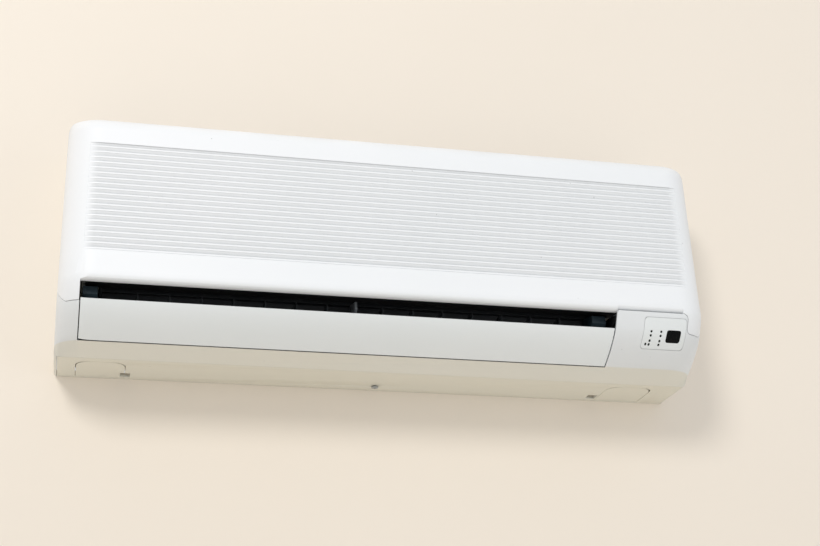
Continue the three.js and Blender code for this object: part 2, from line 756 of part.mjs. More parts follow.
function crossFlowFan() {
  const blades = Array.from({ length: bladeCount }, (_, index) => fanBlade(index));
  const step = (fanRight - fanLeft - fanDiscWall) / (fanDiscs - 1);
  const rings = Array.from({ length: fanDiscs }, (_, index) => {
    const x = fanLeft + index * step;
    const disc = rodX(fanCentre.y, fanCentre.z, fanRadius, x, x + fanDiscWall, 24);
    const end = index === 0 || index === fanDiscs - 1;
    return end ? disc : disc.subtract(rodX(fanCentre.y, fanCentre.z, fanInnerRadius - 3, x - 1, x + 5, 20));
  });
  const leftStub = rodX(fanCentre.y, fanCentre.z, shaftRadius, fanLeft - leftShaft, fanLeft + 1, 12);
  const rightStub = rodX(fanCentre.y, fanCentre.z, shaftRadius, fanRight - 1, fanRight + rightShaft, 12);
  return joined([...blades, ...rings, leftStub, rightStub]);
}
addPart('cross_flow_fan', crossFlowFan(), greyPlastic);

// rubber-held bearing at the fan's free end and the ring that carries it
const bearingX = { x0: fanLeft - 12, x1: fanLeft - 3 };
function bearing() {
  const outerRing = rodX(fanCentre.y, fanCentre.z, 9, bearingX.x0, bearingX.x1, 20);
  return outerRing.subtract(rodX(
    fanCentre.y, fanCentre.z, shaftRadius + gap, bearingX.x0 - 1, bearingX.x1 + 1, 16,
  ));
}
addPart('fan_bearing', bearing(), rubber);

// ---- rear chassis -------------------------------------------------------------------------
const backPlate = { y0: -17, y1: -14 };

// curve of the fan housing behind the fan, from its top edge down to the duct floor
function scrollOutline() {
  const points = [
    [-44, 158], [-34, 150], [-27, 132], [-25, 112], [-28, 90], [-36, 68], [-47, 52],
    [floorRear - gap + 1, floorTop],
  ];
  const curve = new THREE.SplineCurve(points.map(([y, z]) => new THREE.Vector2(y, z)));
  const inside = curve.getPoints(14);
  const outside = inside.map((point, index) => {
    const tangent = curve.getTangent(index / 14);
    return new THREE.Vector2(point.x - tangent.y * chassisWall, point.y + tangent.x * chassisWall);
  });
  return [...inside, ...outside.reverse()].map((point) => [point.x, point.y]);
}

// gutter behind the fan for what drips off the rear coil
const rearGutter = [
  [-15, 200], [-15, 158], [-34, 150], [-44, 156], [-52, 167], [-52, 171], [-49, 171],
  [-42, 162], [-34, 158], [-20, 165], [-20, 200],
];

function endWall(x0, x1, hole) {
  const outline = [
    [-16, 20], [-16, 172], [-60, 172], [-98, 163], [-122, 146], [-122, 86],
    [-110, 80], [-61.4, 80], [-61.4, 36], [-40, 20],
  ];
  return alongX(outline, x0, x1).subtract(rodX(fanCentre.y, fanCentre.z, hole, x0 - 1, x1 + 1, 24));
}

const hangerPlaces = [-0.625, 0, 0.625].map((share) => share * halfWidth);
function hangers() {
  return hangerPlaces.map((x) => joined([
    box(x - 24, x + 24, backPlate.y0 + 1, -3, 268, 271),
    box(x - 24, x + 24, -6, -3, 256, 271),
  ]));
}

// release covers' pockets and slots in the underside
const releaseCovers = [
  {
    name: 'release_cover_left', x0: outletLeft, x1: 85 - halfWidth, slot: [80 - halfWidth, 92 - halfWidth],
  },
  {
    name: 'release_cover_right', x0: halfWidth - 99, x1: halfWidth - 39,
    slot: [halfWidth - 114, halfWidth - 101],
  },
];
const coverDepth = { y0: -66, y1: -6 };
function coverOutline({ x0, x1 }, grow) {
  const radius = 14;
  const front = coverDepth.y0 - grow;
  return [
    [x1 + grow, coverDepth.y1 + grow], [x0 - grow, coverDepth.y1 + grow],
    ...arc(x0 - grow + radius, front + radius, radius, 180, 270, 4),
    ...arc(x1 + grow - radius, front + radius, radius, 270, 360, 4),
  ];
}

function rearChassis() {
  const bottom = shell.intersect(box(-chassisHalf, chassisHalf, crease.y + 0.2, 10, -20, 25));
  const back = box(-chassisHalf, chassisHalf, backPlate.y0, backPlate.y1, 2, 284);
  const rim = [
    box(-chassisHalf, chassisHalf, backPlate.y0, -wallGap, 281, 284),
    box(-chassisHalf, -chassisHalf + 3, backPlate.y0, -wallGap, 2, 284),
    box(chassisHalf - 3, chassisHalf, backPlate.y0, -wallGap, 2, 284),
  ];
  const scroll = alongX(scrollOutline(), sideWallX - 1, bulkheadX + 1);
  const gutter = alongX(rearGutter, sideWallX - 1, bulkheadX + 1);
  const walls = [endWall(sideWallX - 3, sideWallX, 14), endWall(bulkheadX, bulkheadX + 3, 10)];
  // posts that stand up from the bottom and carry the housing's lower edge
  const foot = [[-60, 1], [-40, 1], [-40, 62], [-60, 38]];
  const footPlaces = [-0.75, -0.3, 0.15, 0.6].map((share) => share * halfWidth);
  const feet = footPlaces.map((x) => alongX(foot, x - 1.5, x + 1.5).intersect(outer));
  const corner = 12;
  const top = 284;
  const backOutline = [
    [-chassisHalf, -1], [chassisHalf, -1],
    ...arc(chassisHalf - corner, top - corner, corner, 0, 90, 3),
    ...arc(-chassisHalf + corner, top - corner, corner, 90, 180, 3),
  ];
  const rounded = alongY(backOutline, -300, 10);
  const body = joined([bottom, back, ...rim, scroll, gutter, ...walls, ...feet, ...hangers()])
    .intersect(rounded);
  const pipeHole = box(halfWidth - 70, halfWidth - 14, backPlate.y0 - 1, 1, 30, 86);
  const pockets = releaseCovers.map((cover) => alongZ(coverOutline(cover, gap), -20, 9));
  const slots = releaseCovers.map(({ slot }) => box(slot[0], slot[1], -26, -10, -20, 9));
  const screwHole = rodZ(0, -21, 2.6, -20, 12, 12);
  return cutBy(body, [pipeHole, ...pockets, ...slots, screwHole]).intersect(outer);
}
addPart('rear_chassis', rearChassis(), whitePlastic);

function releaseCover(cover) {
  const plate = shell.intersect(alongZ(coverOutline(cover, 0), -20, 20));
  return plate.subtract(box(cover.slot[0] - gap, cover.slot[1] + gap, -26 - gap, -10 + gap, -20, 20));
}
releaseCovers.forEach((cover) => addPart(cover.name, releaseCover(cover), creamPlastic));

function bottomScrew() {
  const head = rodZ(0, -21, 4.6, -1.1, 0.9, 16);
  const recess = [box(-2.6, 2.6, -21.5, -20.5, -2, -0.1), box(-0.5, 0.5, -23.6, -18.4, -2, -0.1)];
  return cutBy(head.add(rodZ(0, -21, 2, 0, 12, 10)), recess);
}
addPart('bottom_screw', bottomScrew(), zincSteel);

// ---- mounting plate -----------------------------------------------------------------------
const sheet = 1.6;
function mountingPlate() {
  const half = halfWidth - 70;
  const plate = alongY(roundedRect(-half, half, 24, 274, 8), -sheet, 0);
  const tabs = hangerPlaces.map((x) => joined([
    box(x - 18, x + 18, -9, -sheet / 2, 254, 254 + sheet),
    box(x - 18, x + 18, -9, -9 + sheet, 254, 264),
  ]));
  const bead = [140, 170].map((z) => box(30 - half, half - 30, -4, -sheet / 2, z, z + 6));
  const screwX = half - 40;
  const screwHoles = [-screwX, -screwX / 2, screwX / 2, screwX].flatMap((x) =>
    [46, 240].map((z) => rodY(x, z, 2.6, -5, 1, 8)));
  const windowPlaces = [-0.475, -0.225, 0.225, 0.475].map((share) => share * halfWidth);
  const windows = windowPlaces.map((x) => alongY(roundedRect(x - 36, x + 36, 70, 120, 6), -5, 1));
  return cutBy(joined([plate, ...tabs, ...bead]), [...screwHoles, ...windows]);
}
addPart('mounting_plate', mountingPlate(), zincSteel);

// ---- drain pan ----------------------------------------------------------------------------
const panRight = bulkheadX - gap;
const drainAt = { y: -147, z: 92 };
function drainPan() {
  const outline = [
    [-163, 106], [-163, 90], [-154, coverBottom], [-130, coverBottom], [-125, 85], [-125, 101], [-127.5, 101],
    [-129, 92.4], [-142, 92.4], [-144, 88], [-150, 88], [-152, 92.4], [-160.5, 92.4], [-160.5, 106],
  ];
  const trough = alongX(outline, sideWallX + gap, panRight).intersect(room);
  const ends = [[sideWallX + gap, sideWallX + 3], [panRight - 2.6, panRight]].map(([x0, x1]) =>
    alongX(
      [[-163, 98], [-163, 90], [-154, coverBottom], [-130, coverBottom], [-125, 85], [-125, 98]],
      x0, x1,
    ));
  const drain = rodX(drainAt.y, drainAt.z, 4, sideWallX - 1, panRight + 1, 12);
  return joined([trough, ...ends]).subtract(drain).intersect(room);
}
addPart('drain_pan', drainPan(), greyPlastic);

// ---- evaporator ---------------------------------------------------------------------------
function slab(foot, head, side, x0, x1) {
  const run = new THREE.Vector2(head.y - foot.y, head.z - foot.z).normalize();
  const out = new THREE.Vector2(-run.y, run.x).multiplyScalar(side * coilThick);
  const outline = [
    [foot.y, foot.z], [head.y, head.z], [head.y + out.x, head.z + out.y], [foot.y + out.x, foot.z + out.y],
  ];
  return alongX(side > 0 ? outline : outline.reverse(), x0, x1);
}
const frontSlab = (x0, x1) => slab(coilFrontFoot, coilFrontHead, 1, x0, x1);
const rearSlab = (x0, x1) => slab(coilRearFoot, coilRearHead, -1, x0, x1);
addPart('evaporator_front', frontSlab(coilLeft, coilRight), aluminiumFin);
addPart('evaporator_rear', rearSlab(coilLeft, coilRight), aluminiumFin);

// a return bend: half a turn of tube between two neighbouring rows
function returnBend(x, dir, from, to) {
  const middle = from.clone().add(to).multiplyScalar(0.5);
  const radius = from.distanceTo(to) / 2;
  const along = to.clone().sub(from).normalize();
  const points = Array.from({ length: 9 }, (_, i) => {
    const a = (Math.PI * i) / 8;
    const flat = middle.clone().addScaledVector(along, -radius * Math.cos(a));
    return new THREE.Vector3(x + dir * (1.5 + radius * Math.sin(a) * 0.9), flat.x, flat.y);
  });
  points.unshift(new THREE.Vector3(x - dir * 0.3, from.x, from.y));
  points.push(new THREE.Vector3(x - dir * 0.3, to.x, to.y));
  const path = new THREE.CatmullRomCurve3(points);
  const section = new THREE.Shape().absarc(0, 0, tubeRadius, 0, Math.PI * 2);
  const geometry = new THREE.ExtrudeGeometry(
    section, { steps: 6, curveSegments: 3, extrudePath: path, bevelEnabled: false },
  );
  return toSolid(geometry);
}

function rowCentres(foot, head, side, count) {
  const run = new THREE.Vector2(head.y - foot.y, head.z - foot.z);
  const out = new THREE.Vector2(-run.y, run.x).normalize().multiplyScalar((side * coilThick) / 2);
  return Array.from({ length: count }, (_, i) =>
    new THREE.Vector2(foot.y, foot.z).addScaledVector(run, (i + 0.5) / count).add(out));
}

function coilEnd(x, dir) {
  const x0 = Math.min(x, x + dir * 1.2);
  const front = frontSlab(x0, x0 + 1.2);
  const rear = rearSlab(x0, x0 + 1.2);
  const bridge = alongX([[-140, 215], [-104, 214], [-84, 236], [-98, 248], [-135, 226]], x0, x0 + 1.2);
  const rows = [
    ...rowCentres(coilFrontFoot, coilFrontHead, 1, 6), ...rowCentres(coilRearHead, coilRearFoot, 1, 4),
  ];
  const bends = [];
  for (let i = dir > 0 ? 1 : 0; i + 1 < rows.length; i += 2) bends.push(returnBend(
    x + dir * 1.2, dir, rows[i], rows[i + 1],
  ));
  return joined([front, rear, bridge, ...bends]);
}
addPart('coil_end_left', coilEnd(coilLeft - gap, -1), copper);
addPart('coil_end_right', coilEnd(coilRight + gap, 1), copper);

// a straight tube piece for the drain and a plug in the unused drain
addPart('drain_spigot', rodX(drainAt.y, drainAt.z, 6.5, panRight + gap, panRight + 12, 16)
  .subtract(rodX(drainAt.y, drainAt.z, 4.4, panRight - 1, panRight + 13, 12)), greyPlastic);
const plugX = sideWallX + gap;
addPart('drain_plug', rodX(drainAt.y, drainAt.z, 6, plugX - 4.4, plugX - gap, 12)
  .add(rodX(drainAt.y, drainAt.z, 3.6, plugX - 1, plugX + 2.6, 12)), rubber);

// ---- refrigerant pipes --------------------------------------------------------------------
function pipe(points, radius) {
  const path = new THREE.CatmullRomCurve3(
    points.map(([x, y, z]) => new THREE.Vector3(x, y, z)), false, 'centripetal',
  );
  const section = new THREE.Shape().absarc(0, 0, radius, 0, Math.PI * 2);
  return toSolid(new THREE.ExtrudeGeometry(
    section, { steps: 22, curveSegments: 4, extrudePath: path, bevelEnabled: false },
  ));
}
function flareNut(x, y, z, radius) {
  const outline = Array.from({ length: 6 }, (_, i) => {
    const a = (Math.PI / 3) * i;
    return [x + radius * Math.cos(a), y + radius * Math.sin(a)];
  });
  return alongZ(outline, z - 16, z).subtract(rodZ(x, y, radius * 0.62, z - 17, z + 1, 12));
}
const pipeFrom = coilRight + gap + 1.2 + gap;
const rearRow = rowCentres(coilRearHead, coilRearFoot, 1, 4)[3];
const frontRow = rowCentres(coilFrontFoot, coilFrontHead, 1, 6)[0];
const suctionEnd = { x: halfWidth - 40, y: -32 };
const liquidEnd = { x: halfWidth - 62, y: -32 };
const nutZ = 50;
addPart('suction_pipe', pipe([
  [pipeFrom, rearRow.x, rearRow.y], [pipeFrom + 30, rearRow.x, rearRow.y],
  [suctionEnd.x - 30, -44, 178], [suctionEnd.x - 4, -36, 140],
  [suctionEnd.x, suctionEnd.y, 90], [suctionEnd.x, suctionEnd.y, nutZ - 10],
], 4.8), copper);
addPart('liquid_pipe', pipe([
  [pipeFrom, frontRow.x, frontRow.y], [pipeFrom + 34, frontRow.x, frontRow.y],
  [liquidEnd.x - 28, -138, 84], [liquidEnd.x - 14, -118, 62],
  [liquidEnd.x - 4, -84, 58], [liquidEnd.x - 1, -50, 64], [liquidEnd.x, liquidEnd.y, 60], [
    liquidEnd.x, liquidEnd.y, 52,
  ],
  [liquidEnd.x, liquidEnd.y, nutZ - 10],
], 3.2), copper);
addPart('suction_nut', flareNut(suctionEnd.x, suctionEnd.y, nutZ, 9.6), brass);
addPart('liquid_nut', flareNut(liquidEnd.x, liquidEnd.y, nutZ, 6.8), brass);

// ---- fan drive ----------------------------------------------------------------------------
function bearingHolder() {
  const cup = rodX(fanCentre.y, fanCentre.z, 12.5, sideWallX + gap, bearingX.x1 - 1, 20);
  const flange = rodX(fanCentre.y, fanCentre.z, 21, sideWallX + gap, sideWallX + 2.4, 20);
  const seat = rodX(fanCentre.y, fanCentre.z, 9 + gap, sideWallX - 1, bearingX.x1 + 1, 20);
  return cup.add(flange).subtract(seat);
}
addPart('bearing_holder', bearingHolder(), greyPlastic);

const motorX = bulkheadX + 7;
function fanMotor() {
  const body = rodX(fanCentre.y, fanCentre.z, motorRadius, motorX + 3, motorX + motorLength - 3, 24);
  const front = rodX(fanCentre.y, fanCentre.z, motorRadius - 4, motorX, motorX + motorLength, 24);
  const hub = rodX(fanCentre.y, fanCentre.z, 8, fanRight + 12, motorX + 1, 16);
  const socket = rodX(
    fanCentre.y, fanCentre.z, shaftRadius + gap, fanRight + 11, fanRight + rightShaft + gap, 16,
  );
  return joined([body, front, hub]).subtract(socket);
}
addPart('fan_motor', fanMotor(), zincSteel);

// half shell that clamps the motor and is fixed to the wall of the compartment
function motorCover() {
  const x0 = bulkheadX + 3 + gap;
  const x1 = motorX + motorLength - 6;
  const ring = rodX(fanCentre.y, fanCentre.z, motorRadius + gap + 3, x0, x1, 24)
    .subtract(rodX(fanCentre.y, fanCentre.z, motorRadius + gap, x0 - 1, x1 + 1, 24));
  const flange = rodX(fanCentre.y, fanCentre.z, motorRadius + 7, x0, x0 + 2.4, 24)
    .subtract(rodX(fanCentre.y, fanCentre.z, motorRadius + gap, x0 - 1, x0 + 4, 24));
  const frontHalf = box(x0 - 1, x1 + 1, -200, fanCentre.y, 0, 300);
  return ring.add(flange).intersect(frontHalf);
}
addPart('motor_cover', motorCover(), greyPlastic);

// ---- electrics ----------------------------------------------------------------------------
const tray = { x0: halfWidth - 104, x1: halfWidth - 24, y0: -128, y1: -88, z0: 151, z1: 255, wall: 2 };
function controlBox() {
  const { x0, x1, y0, y1, z0, z1, wall } = tray;
  const body = box(x0, x1, y0, y1, z0, z1).subtract(box(
    x0 + wall, x1 - wall, y0 - 1, y1 - wall, z0 + wall, z1 - wall,
  ));
  const flange = box(bulkheadX + 3 + gap, x0 + 1, -106, -103, z0, z0 + 8);
  const stand = [[x0 + 10, z0 + 12], [x1 - 10, z0 + 12], [x0 + 10, z1 - 12], [x1 - 10, z1 - 12]];
  return joined([body, flange, ...stand.map(([x, z]) => rodY(x, z, 3, y1 - 28, y1 - 1, 8))]);
}
addPart('control_box', controlBox(), greyPlastic);
addPart(
  'control_board',
  box(tray.x0 + 4, tray.x1 - 4, tray.y1 - 30, tray.y1 - 28 - gap, tray.z0 + 5, tray.z1 - 5), greenBoard,
);
function boxCover() {
  const { x0, x1, y0, z0, z1, wall } = tray;
  const plate = box(x0, x1, y0 - gap - wall, y0 - gap, z0, z1);
  const skirt = box(
    x0 + wall + gap, x1 - wall - gap, y0 - gap - 1, y0 + 4, z0 + wall + gap, z1 - wall - gap,
  )
    .subtract(box(
      x0 + 2 * wall + gap, x1 - 2 * wall - gap, y0 - 1, y0 + 5, z0 + 2 * wall + gap, z1 - 2 * wall - gap,
    ));
  return plate.add(skirt);
}
addPart('control_box_cover', boxCover(), greyPlastic);

function terminalBlock() {
  const z1 = tray.z0 - gap;
  const block = box(tray.x1 - 36, tray.x1, -126, -104, z1 - 22, z1);
  const first = tray.x1 - 33;
  const wells = [0, 8, 16, 24].map((step) => box(
    first + step, first + step + 6, -127, -112, z1 - 17, z1 - 5,
  ));
  return cutBy(block, wells);
}
addPart('terminal_block', terminalBlock(), blackPlastic);

function roomSensor() {
  const block = [insideFace(railGap + railWall + gap, 140), insideFace(railGap + railWall + gap, 150),
    insideFace(railGap + railWall + 4, 150), insideFace(railGap + railWall + 4, 140)];
  const [y] = insideFace(railGap + railWall + 2.4, 145);
  return alongX(block, outletRight - 2.7, outletRight + 1.8)
    .add(rodX(y, 145, 1.6, outletRight + 0.8, outletRight + 12.8, 8));
}
addPart('room_sensor', roomSensor(), copper);

const button = { x: halfWidth - 38, z: 111.5, radius: 3 };
const housing = { y0: -154, y1: -142 };
addPart('switch_housing', box(button.x - 8, button.x + 8, housing.y0, housing.y1, 103, 120)
  .subtract(rodY(button.x, button.z, button.radius + gap, housing.y0 - 1, housing.y1 + 1, 16)), blackPlastic);
addPart('switch_button', rodY(button.x, button.z, button.radius, housing.y0 - 3.4, housing.y1 + 1, 16)
  .add(rodY(button.x, button.z, button.radius + 2, housing.y1 + gap, housing.y1 + 2, 16)), whitePlastic);

// ---- filters ------------------------------------------------------------------------------
function airFilter(x0, x1) {
  const near = railGap - gap - 1.8;
  const slabAt = (n0, n1, z0, z1) => [
    insideFace(n0, z0), insideFace(n0, z1), insideFace(n1, z1), insideFace(n1, z0),
  ];
  const plate = alongX(slabAt(near, railGap - gap, filterFoot, filterHead), x0, x1);
  const columns = 4;
  const rows = 3;
  const rim = 5;
  const rib = 2.4;
  const width = (x1 - x0 - 2 * rim - rib * (columns - 1)) / columns;
  const height = (filterHead - filterFoot - 2 * rim - rib * (rows - 1)) / rows;
  const openings = [];
  for (let column = 0; column < columns; column += 1) {
    for (let row = 0; row < rows; row += 1) {
      const x = x0 + rim + column * (width + rib);
      const z = filterFoot + rim + row * (height + rib);
      openings.push(box(x, x + width, -200, -100, z, z + height));
    }
  }
  return cutBy(plate, openings);
}
addPart('air_filter_left', airFilter(sideWallX + 6, postX - 1), filterNet);
addPart('air_filter_right', airFilter(postX + 1, bulkheadX - 10), filterNet);

unit.updateMatrixWorld(true);
export default unit;
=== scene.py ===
import math

import bmesh
import bpy
from mathutils import Matrix, Vector


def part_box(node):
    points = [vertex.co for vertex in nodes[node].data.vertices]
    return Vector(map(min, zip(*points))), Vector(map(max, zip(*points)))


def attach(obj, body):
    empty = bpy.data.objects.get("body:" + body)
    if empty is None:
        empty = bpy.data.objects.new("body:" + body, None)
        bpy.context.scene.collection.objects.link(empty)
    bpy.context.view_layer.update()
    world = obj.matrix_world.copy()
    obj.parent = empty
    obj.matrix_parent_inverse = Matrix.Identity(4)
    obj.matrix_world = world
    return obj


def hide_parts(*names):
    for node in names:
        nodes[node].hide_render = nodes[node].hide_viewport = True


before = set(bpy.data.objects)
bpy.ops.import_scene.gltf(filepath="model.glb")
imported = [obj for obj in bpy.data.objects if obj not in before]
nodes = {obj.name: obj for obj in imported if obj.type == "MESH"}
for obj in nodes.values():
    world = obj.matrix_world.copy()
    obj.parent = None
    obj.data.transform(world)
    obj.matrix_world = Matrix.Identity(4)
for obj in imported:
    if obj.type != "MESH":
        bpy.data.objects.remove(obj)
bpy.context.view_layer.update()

scene = bpy.context.scene
print("frame loaded,", len(nodes), "nodes")

# sizes of the outer form
# Heights count up from the unit's lower edge, and each finished piece drops by lowerEdge.
# Points of the side profile are (y, z), with the front towards -y.
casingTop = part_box("front_casing")[1]
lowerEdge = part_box("rear_chassis")[0].z
form = {
    "half": casingTop.x,
    "height": casingTop.z - lowerEdge,
    "wallGap": 0.0005,
    "skin": 0.0025,
    "seam": 0.0008,
    "gap": 0.0004,
    "cornerRadius": 0.042,
    "topCornerRadius": 0.007,
    "lowerCornerRadius": 0.005,
    "topEdgeRadius": 0.022,
    "cornerSteps": 14,
    "faceTop": (-0.1452, 0.2561),
    "faceFoot": (-0.1684, 0.1146),
    "lipFront": -0.1752,
    "lipBottom": 0.0768,
    "lipRadius": 0.008,
    "flapTop": (-0.1662, 0.0583),
    "flapMiddle": (-0.1505, 0.0392),
    "flapFoot": (-0.1220, 0.0175),
    "crease": (-0.0796, 0.0061),
}
outlet = {"left": -0.374, "right": 0.2752, "foot": -0.1219}
far = 0.3  # well past the unit on any side

faceSlope = (form["faceTop"][0] - form["faceFoot"][0]) / (form["faceTop"][1] - form["faceFoot"][1])
faceAngle = math.atan(faceSlope)


# drawing and cutting
def arc(a, b, radius, start, end, steps):
    turns = [math.radians(start + (end - start) * i / steps) for i in range(steps + 1)]
    return [(a + radius * math.cos(turn), b + radius * math.sin(turn)) for turn in turns]


def roundedRect(x0, x1, z0, z1, radius, steps=6):
    return (
        arc(x1 - radius, z1 - radius, radius, 0, 90, steps)
        + arc(x0 + radius, z1 - radius, radius, 90, 180, steps)
        + arc(x0 + radius, z0 + radius, radius, 180, 270, steps)
        + arc(x1 - radius, z0 + radius, radius, 270, 360, steps)
    )


def faceY(z):
    return form["faceTop"][0] + faceSlope * (z - form["faceTop"][1])


# a point n behind the sloping face, at height z
def behindFace(n, z):
    return faceY(z) + n / math.cos(faceAngle), z


# the side outline of a plate that lies along the sloping face
def slab(near, deep, foot, head):
    return [behindFace(near, foot), behindFace(near, head), behindFace(deep, head), behindFace(deep, foot)]


def objectFrom(bm, name):
    bmesh.ops.remove_doubles(bm, verts=bm.verts, dist=0.000001)
    bmesh.ops.recalc_face_normals(bm, faces=bm.faces)
    mesh = bpy.data.meshes.new(name)
    bm.to_mesh(mesh)
    bm.free()
    made = bpy.data.objects.new(name, mesh)
    scene.collection.objects.link(made)
    return made


placeOn = {
    "x": lambda a, b, along: (along, a, b),
    "y": lambda a, b, along: (a, along, b),
    "z": lambda a, b, along: (a, b, along),
}


# a closed outline in two axes, drawn out along the third
def drawnOut(bm, outline, axis, start, end):
    place = placeOn[axis]
    face = bm.faces.new([bm.verts.new(place(a, b, start)) for a, b in outline])
    grown = bmesh.ops.extrude_face_region(bm, geom=[face])
    moved = [item for item in grown["geom"] if isinstance(item, bmesh.types.BMVert)]
    bmesh.ops.translate(bm, verts=moved, vec=place(0, 0, end - start))


# a closed side outline (y, z), drawn out along x from station to station
def drawnThrough(bm, outline, stations):
    ring = [bm.verts.new((stations[0], y, z)) for y, z in outline]
    edges = [bm.edges.new(pair) for pair in zip(ring, ring[1:] + ring[:1])]
    bmesh.ops.contextual_create(bm, geom=edges)
    for here, there in zip(stations, stations[1:]):
        grown = bmesh.ops.extrude_edge_only(bm, edges=edges)
        edges = [item for item in grown["geom"] if isinstance(item, bmesh.types.BMEdge)]
        moved = [item for item in grown["geom"] if isinstance(item, bmesh.types.BMVert)]
        bmesh.ops.translate(bm, verts=moved, vec=(there - here, 0, 0))
    bmesh.ops.contextual_create(bm, geom=edges)


def prism(outline, axis, start, end, name="cutter"):
    bm = bmesh.new()
    drawnOut(bm, outline, axis, start, end)
    return objectFrom(bm, name)


def block(x0, x1, y0, y1, z0, z1):
    return prism([(x0, y0), (x1, y0), (x1, y1), (x0, y1)], "z", z0, z1)


def rod(y, z, radius, x0, x1, steps):
    return prism(arc(y, z, radius, 0, 360 - 360 / steps, steps - 1), "x", x0, x1)


# joins, cuts or keeps the common part, and clears the tools away
def worked(target, operation, tools):
    for tool in tools:
        change = target.modifiers.new(operation, "BOOLEAN")
        change.operation = operation
        change.solver = "EXACT"
        change.object = tool
    graph = bpy.context.evaluated_depsgraph_get()
    mesh = bpy.data.meshes.new_from_object(target.evaluated_get(graph))
    target.modifiers.clear()
    oldMesh = target.data
    target.data = mesh
    bpy.data.meshes.remove(oldMesh)
    for tool in tools:
        bpy.data.objects.remove(tool)
    return target


def cut(target, *tools):
    return worked(target, "DIFFERENCE", tools)


def added(target, *tools):
    return worked(target, "UNION", tools)


def common(target, *tools):
    return worked(target, "INTERSECT", tools)


def copied(source, name="cutter"):
    made = bpy.data.objects.new(name, source.data.copy())
    scene.collection.objects.link(made)
    return made


# the closed outer form: a side profile from end to end, with rounded ends
def flapCurve(inset, steps=8):
    top, middle, foot = form["flapTop"], form["flapMiddle"], form["flapFoot"]
    pull = [2 * middle[i] - (top[i] + foot[i]) / 2 for i in range(2)]
    points = []
    for step in range(steps + 1):
        t = step / steps
        y, z = [(1 - t) ** 2 * top[i] + 2 * t * (1 - t) * pull[i] + t * t * foot[i] for i in range(2)]
        points.append((y + inset * (0.9 - 0.3 * t), z + inset * (0.6 + 0.4 * t)))
    return points


def sideOutline(inset, rear):
    radius = form["topEdgeRadius"]
    centreZ = form["height"] - radius
    centreY = faceY(centreZ) + radius / math.cos(faceAngle)
    turn = math.degrees(faceAngle)
    lipZ = form["lipBottom"]
    return [
        (rear, form["height"] - inset),
        *arc(centreY, centreZ, radius - inset, 90, 180 - turn, 14),
        behindFace(inset, form["faceTop"][1]),
        (form["faceFoot"][0] + inset, form["faceFoot"][1]),
        (form["lipFront"] + 0.0009 + inset, lipZ + 0.007),
        (form["lipFront"] + 0.0016 + inset, lipZ),
        *flapCurve(inset),
        (form["crease"][0], form["crease"][1] + inset),
        (rear, inset + 0.00001),
    ]


def drawnBack(x, radius, half):
    past = abs(x) - (half - radius)
    if past <= 0:
        return 0
    return radius - math.sqrt(max(0, radius * radius - past * past))


# rounds the ends: the front draws back, the top comes down and the bottom comes up a little
def roundEnds(point, inset):
    half = form["half"] - inset
    back = drawnBack(point.x, form["cornerRadius"] - inset, half)
    drop = drawnBack(point.x, form["topCornerRadius"] - inset, half)
    lift = drawnBack(point.x, form["lowerCornerRadius"] - inset, half)
    topShare = (point.z - form["height"] + form["topEdgeRadius"]) / (form["topEdgeRadius"] - inset)
    lowShare = 1 - point.z / form["topEdgeRadius"]
    point.z += lift * max(0, lowShare) - drop * min(1, max(0, topShare))
    if point.y < form["crease"][0] - 0.001:
        point.y = min(point.y + back, -form["wallGap"] - 0.001)


def outerForm(inset, rear, name):
    half = form["half"] - inset
    radius = form["cornerRadius"] - inset
    count = form["cornerSteps"]
    right = [half - radius + radius * math.sin(math.pi / 2 * i / count) for i in range(count + 1)]
    stations = [-x for x in reversed(right)] + right
    bm = bmesh.new()
    drawnThrough(bm, sideOutline(inset, rear), stations)
    for vert in bm.verts:
        roundEnds(vert.co, inset)
    return objectFrom(bm, name)


outer = outerForm(0, -form["wallGap"], "outer")
inner = outerForm(form["skin"], 0.005, "inner")
shell = cut(copied(outer, "shell"), inner)
print("outer form,", len(shell.data.polygons), "faces")


# front panel
panel = {
    "rear": -0.110,
    "earTurn": -0.150,
    "earBottom": 0.0555,
    "hinge": (-0.112, 0.2891),
    "pinRadius": 0.0018,
    "pinPlaces": [-0.312, 0.300],
    "lugWidth": 0.004,
    "pinLength": 0.009,
    "displayTop": 0.0785,
    "displayEarX": 0.370,
    "earFlare": 0.005,
    "grilleHalf": 0.373,
    "ribPlaces": [-0.180, 0, 0.180],
    "ribDepth": (0.0044, 0.0100),
    "ribPast": 0.004,
}


def panelSide(grow):
    rear, turn, bottom = panel["rear"], panel["earTurn"], panel["earBottom"]
    notch = panel["hinge"][1] - 0.0025
    return [
        (-far, bottom - grow),
        (turn + grow * 0.4, bottom - grow),
        (rear + grow, bottom + rear - turn),
        (rear + grow, notch),
        (rear + grow * 3, notch),
        (rear + grow * 3, 0.4),
        (-far, 0.4),
    ]


def panelMouth(shrink):
    left, right = outlet["left"] - 0.0005, outlet["right"] + 0.0003
    top, radius, flare = panel["displayTop"], form["lipRadius"], panel["earFlare"]
    earX, earZ = panel["displayEarX"], panel["earBottom"]
    return [
        (left + shrink, 0.02),
        (left + shrink, form["lipBottom"] - shrink),
        (right + shrink, form["lipBottom"] - shrink),
        (right + shrink, top - shrink),
        *arc(earX - radius, top - radius, radius - shrink, 90, 0, 6),
        *arc(earX + flare, earZ + flare, flare + shrink, 180, 270, 5),
        (earX + flare, 0.02),
    ]


# the turned-in lower edge over the outlet and over the display
def lip(x0, x1, bottom):
    front = form["lipFront"]
    bar = [
        (-far, bottom), (front + 0.0115, bottom), (front + 0.0115, bottom + 0.0025),
        (front + 0.004, bottom + 0.012), (-far, bottom + 0.012),
    ]
    return common(prism(bar, "x", x0, x1, "lip"), copied(outer))


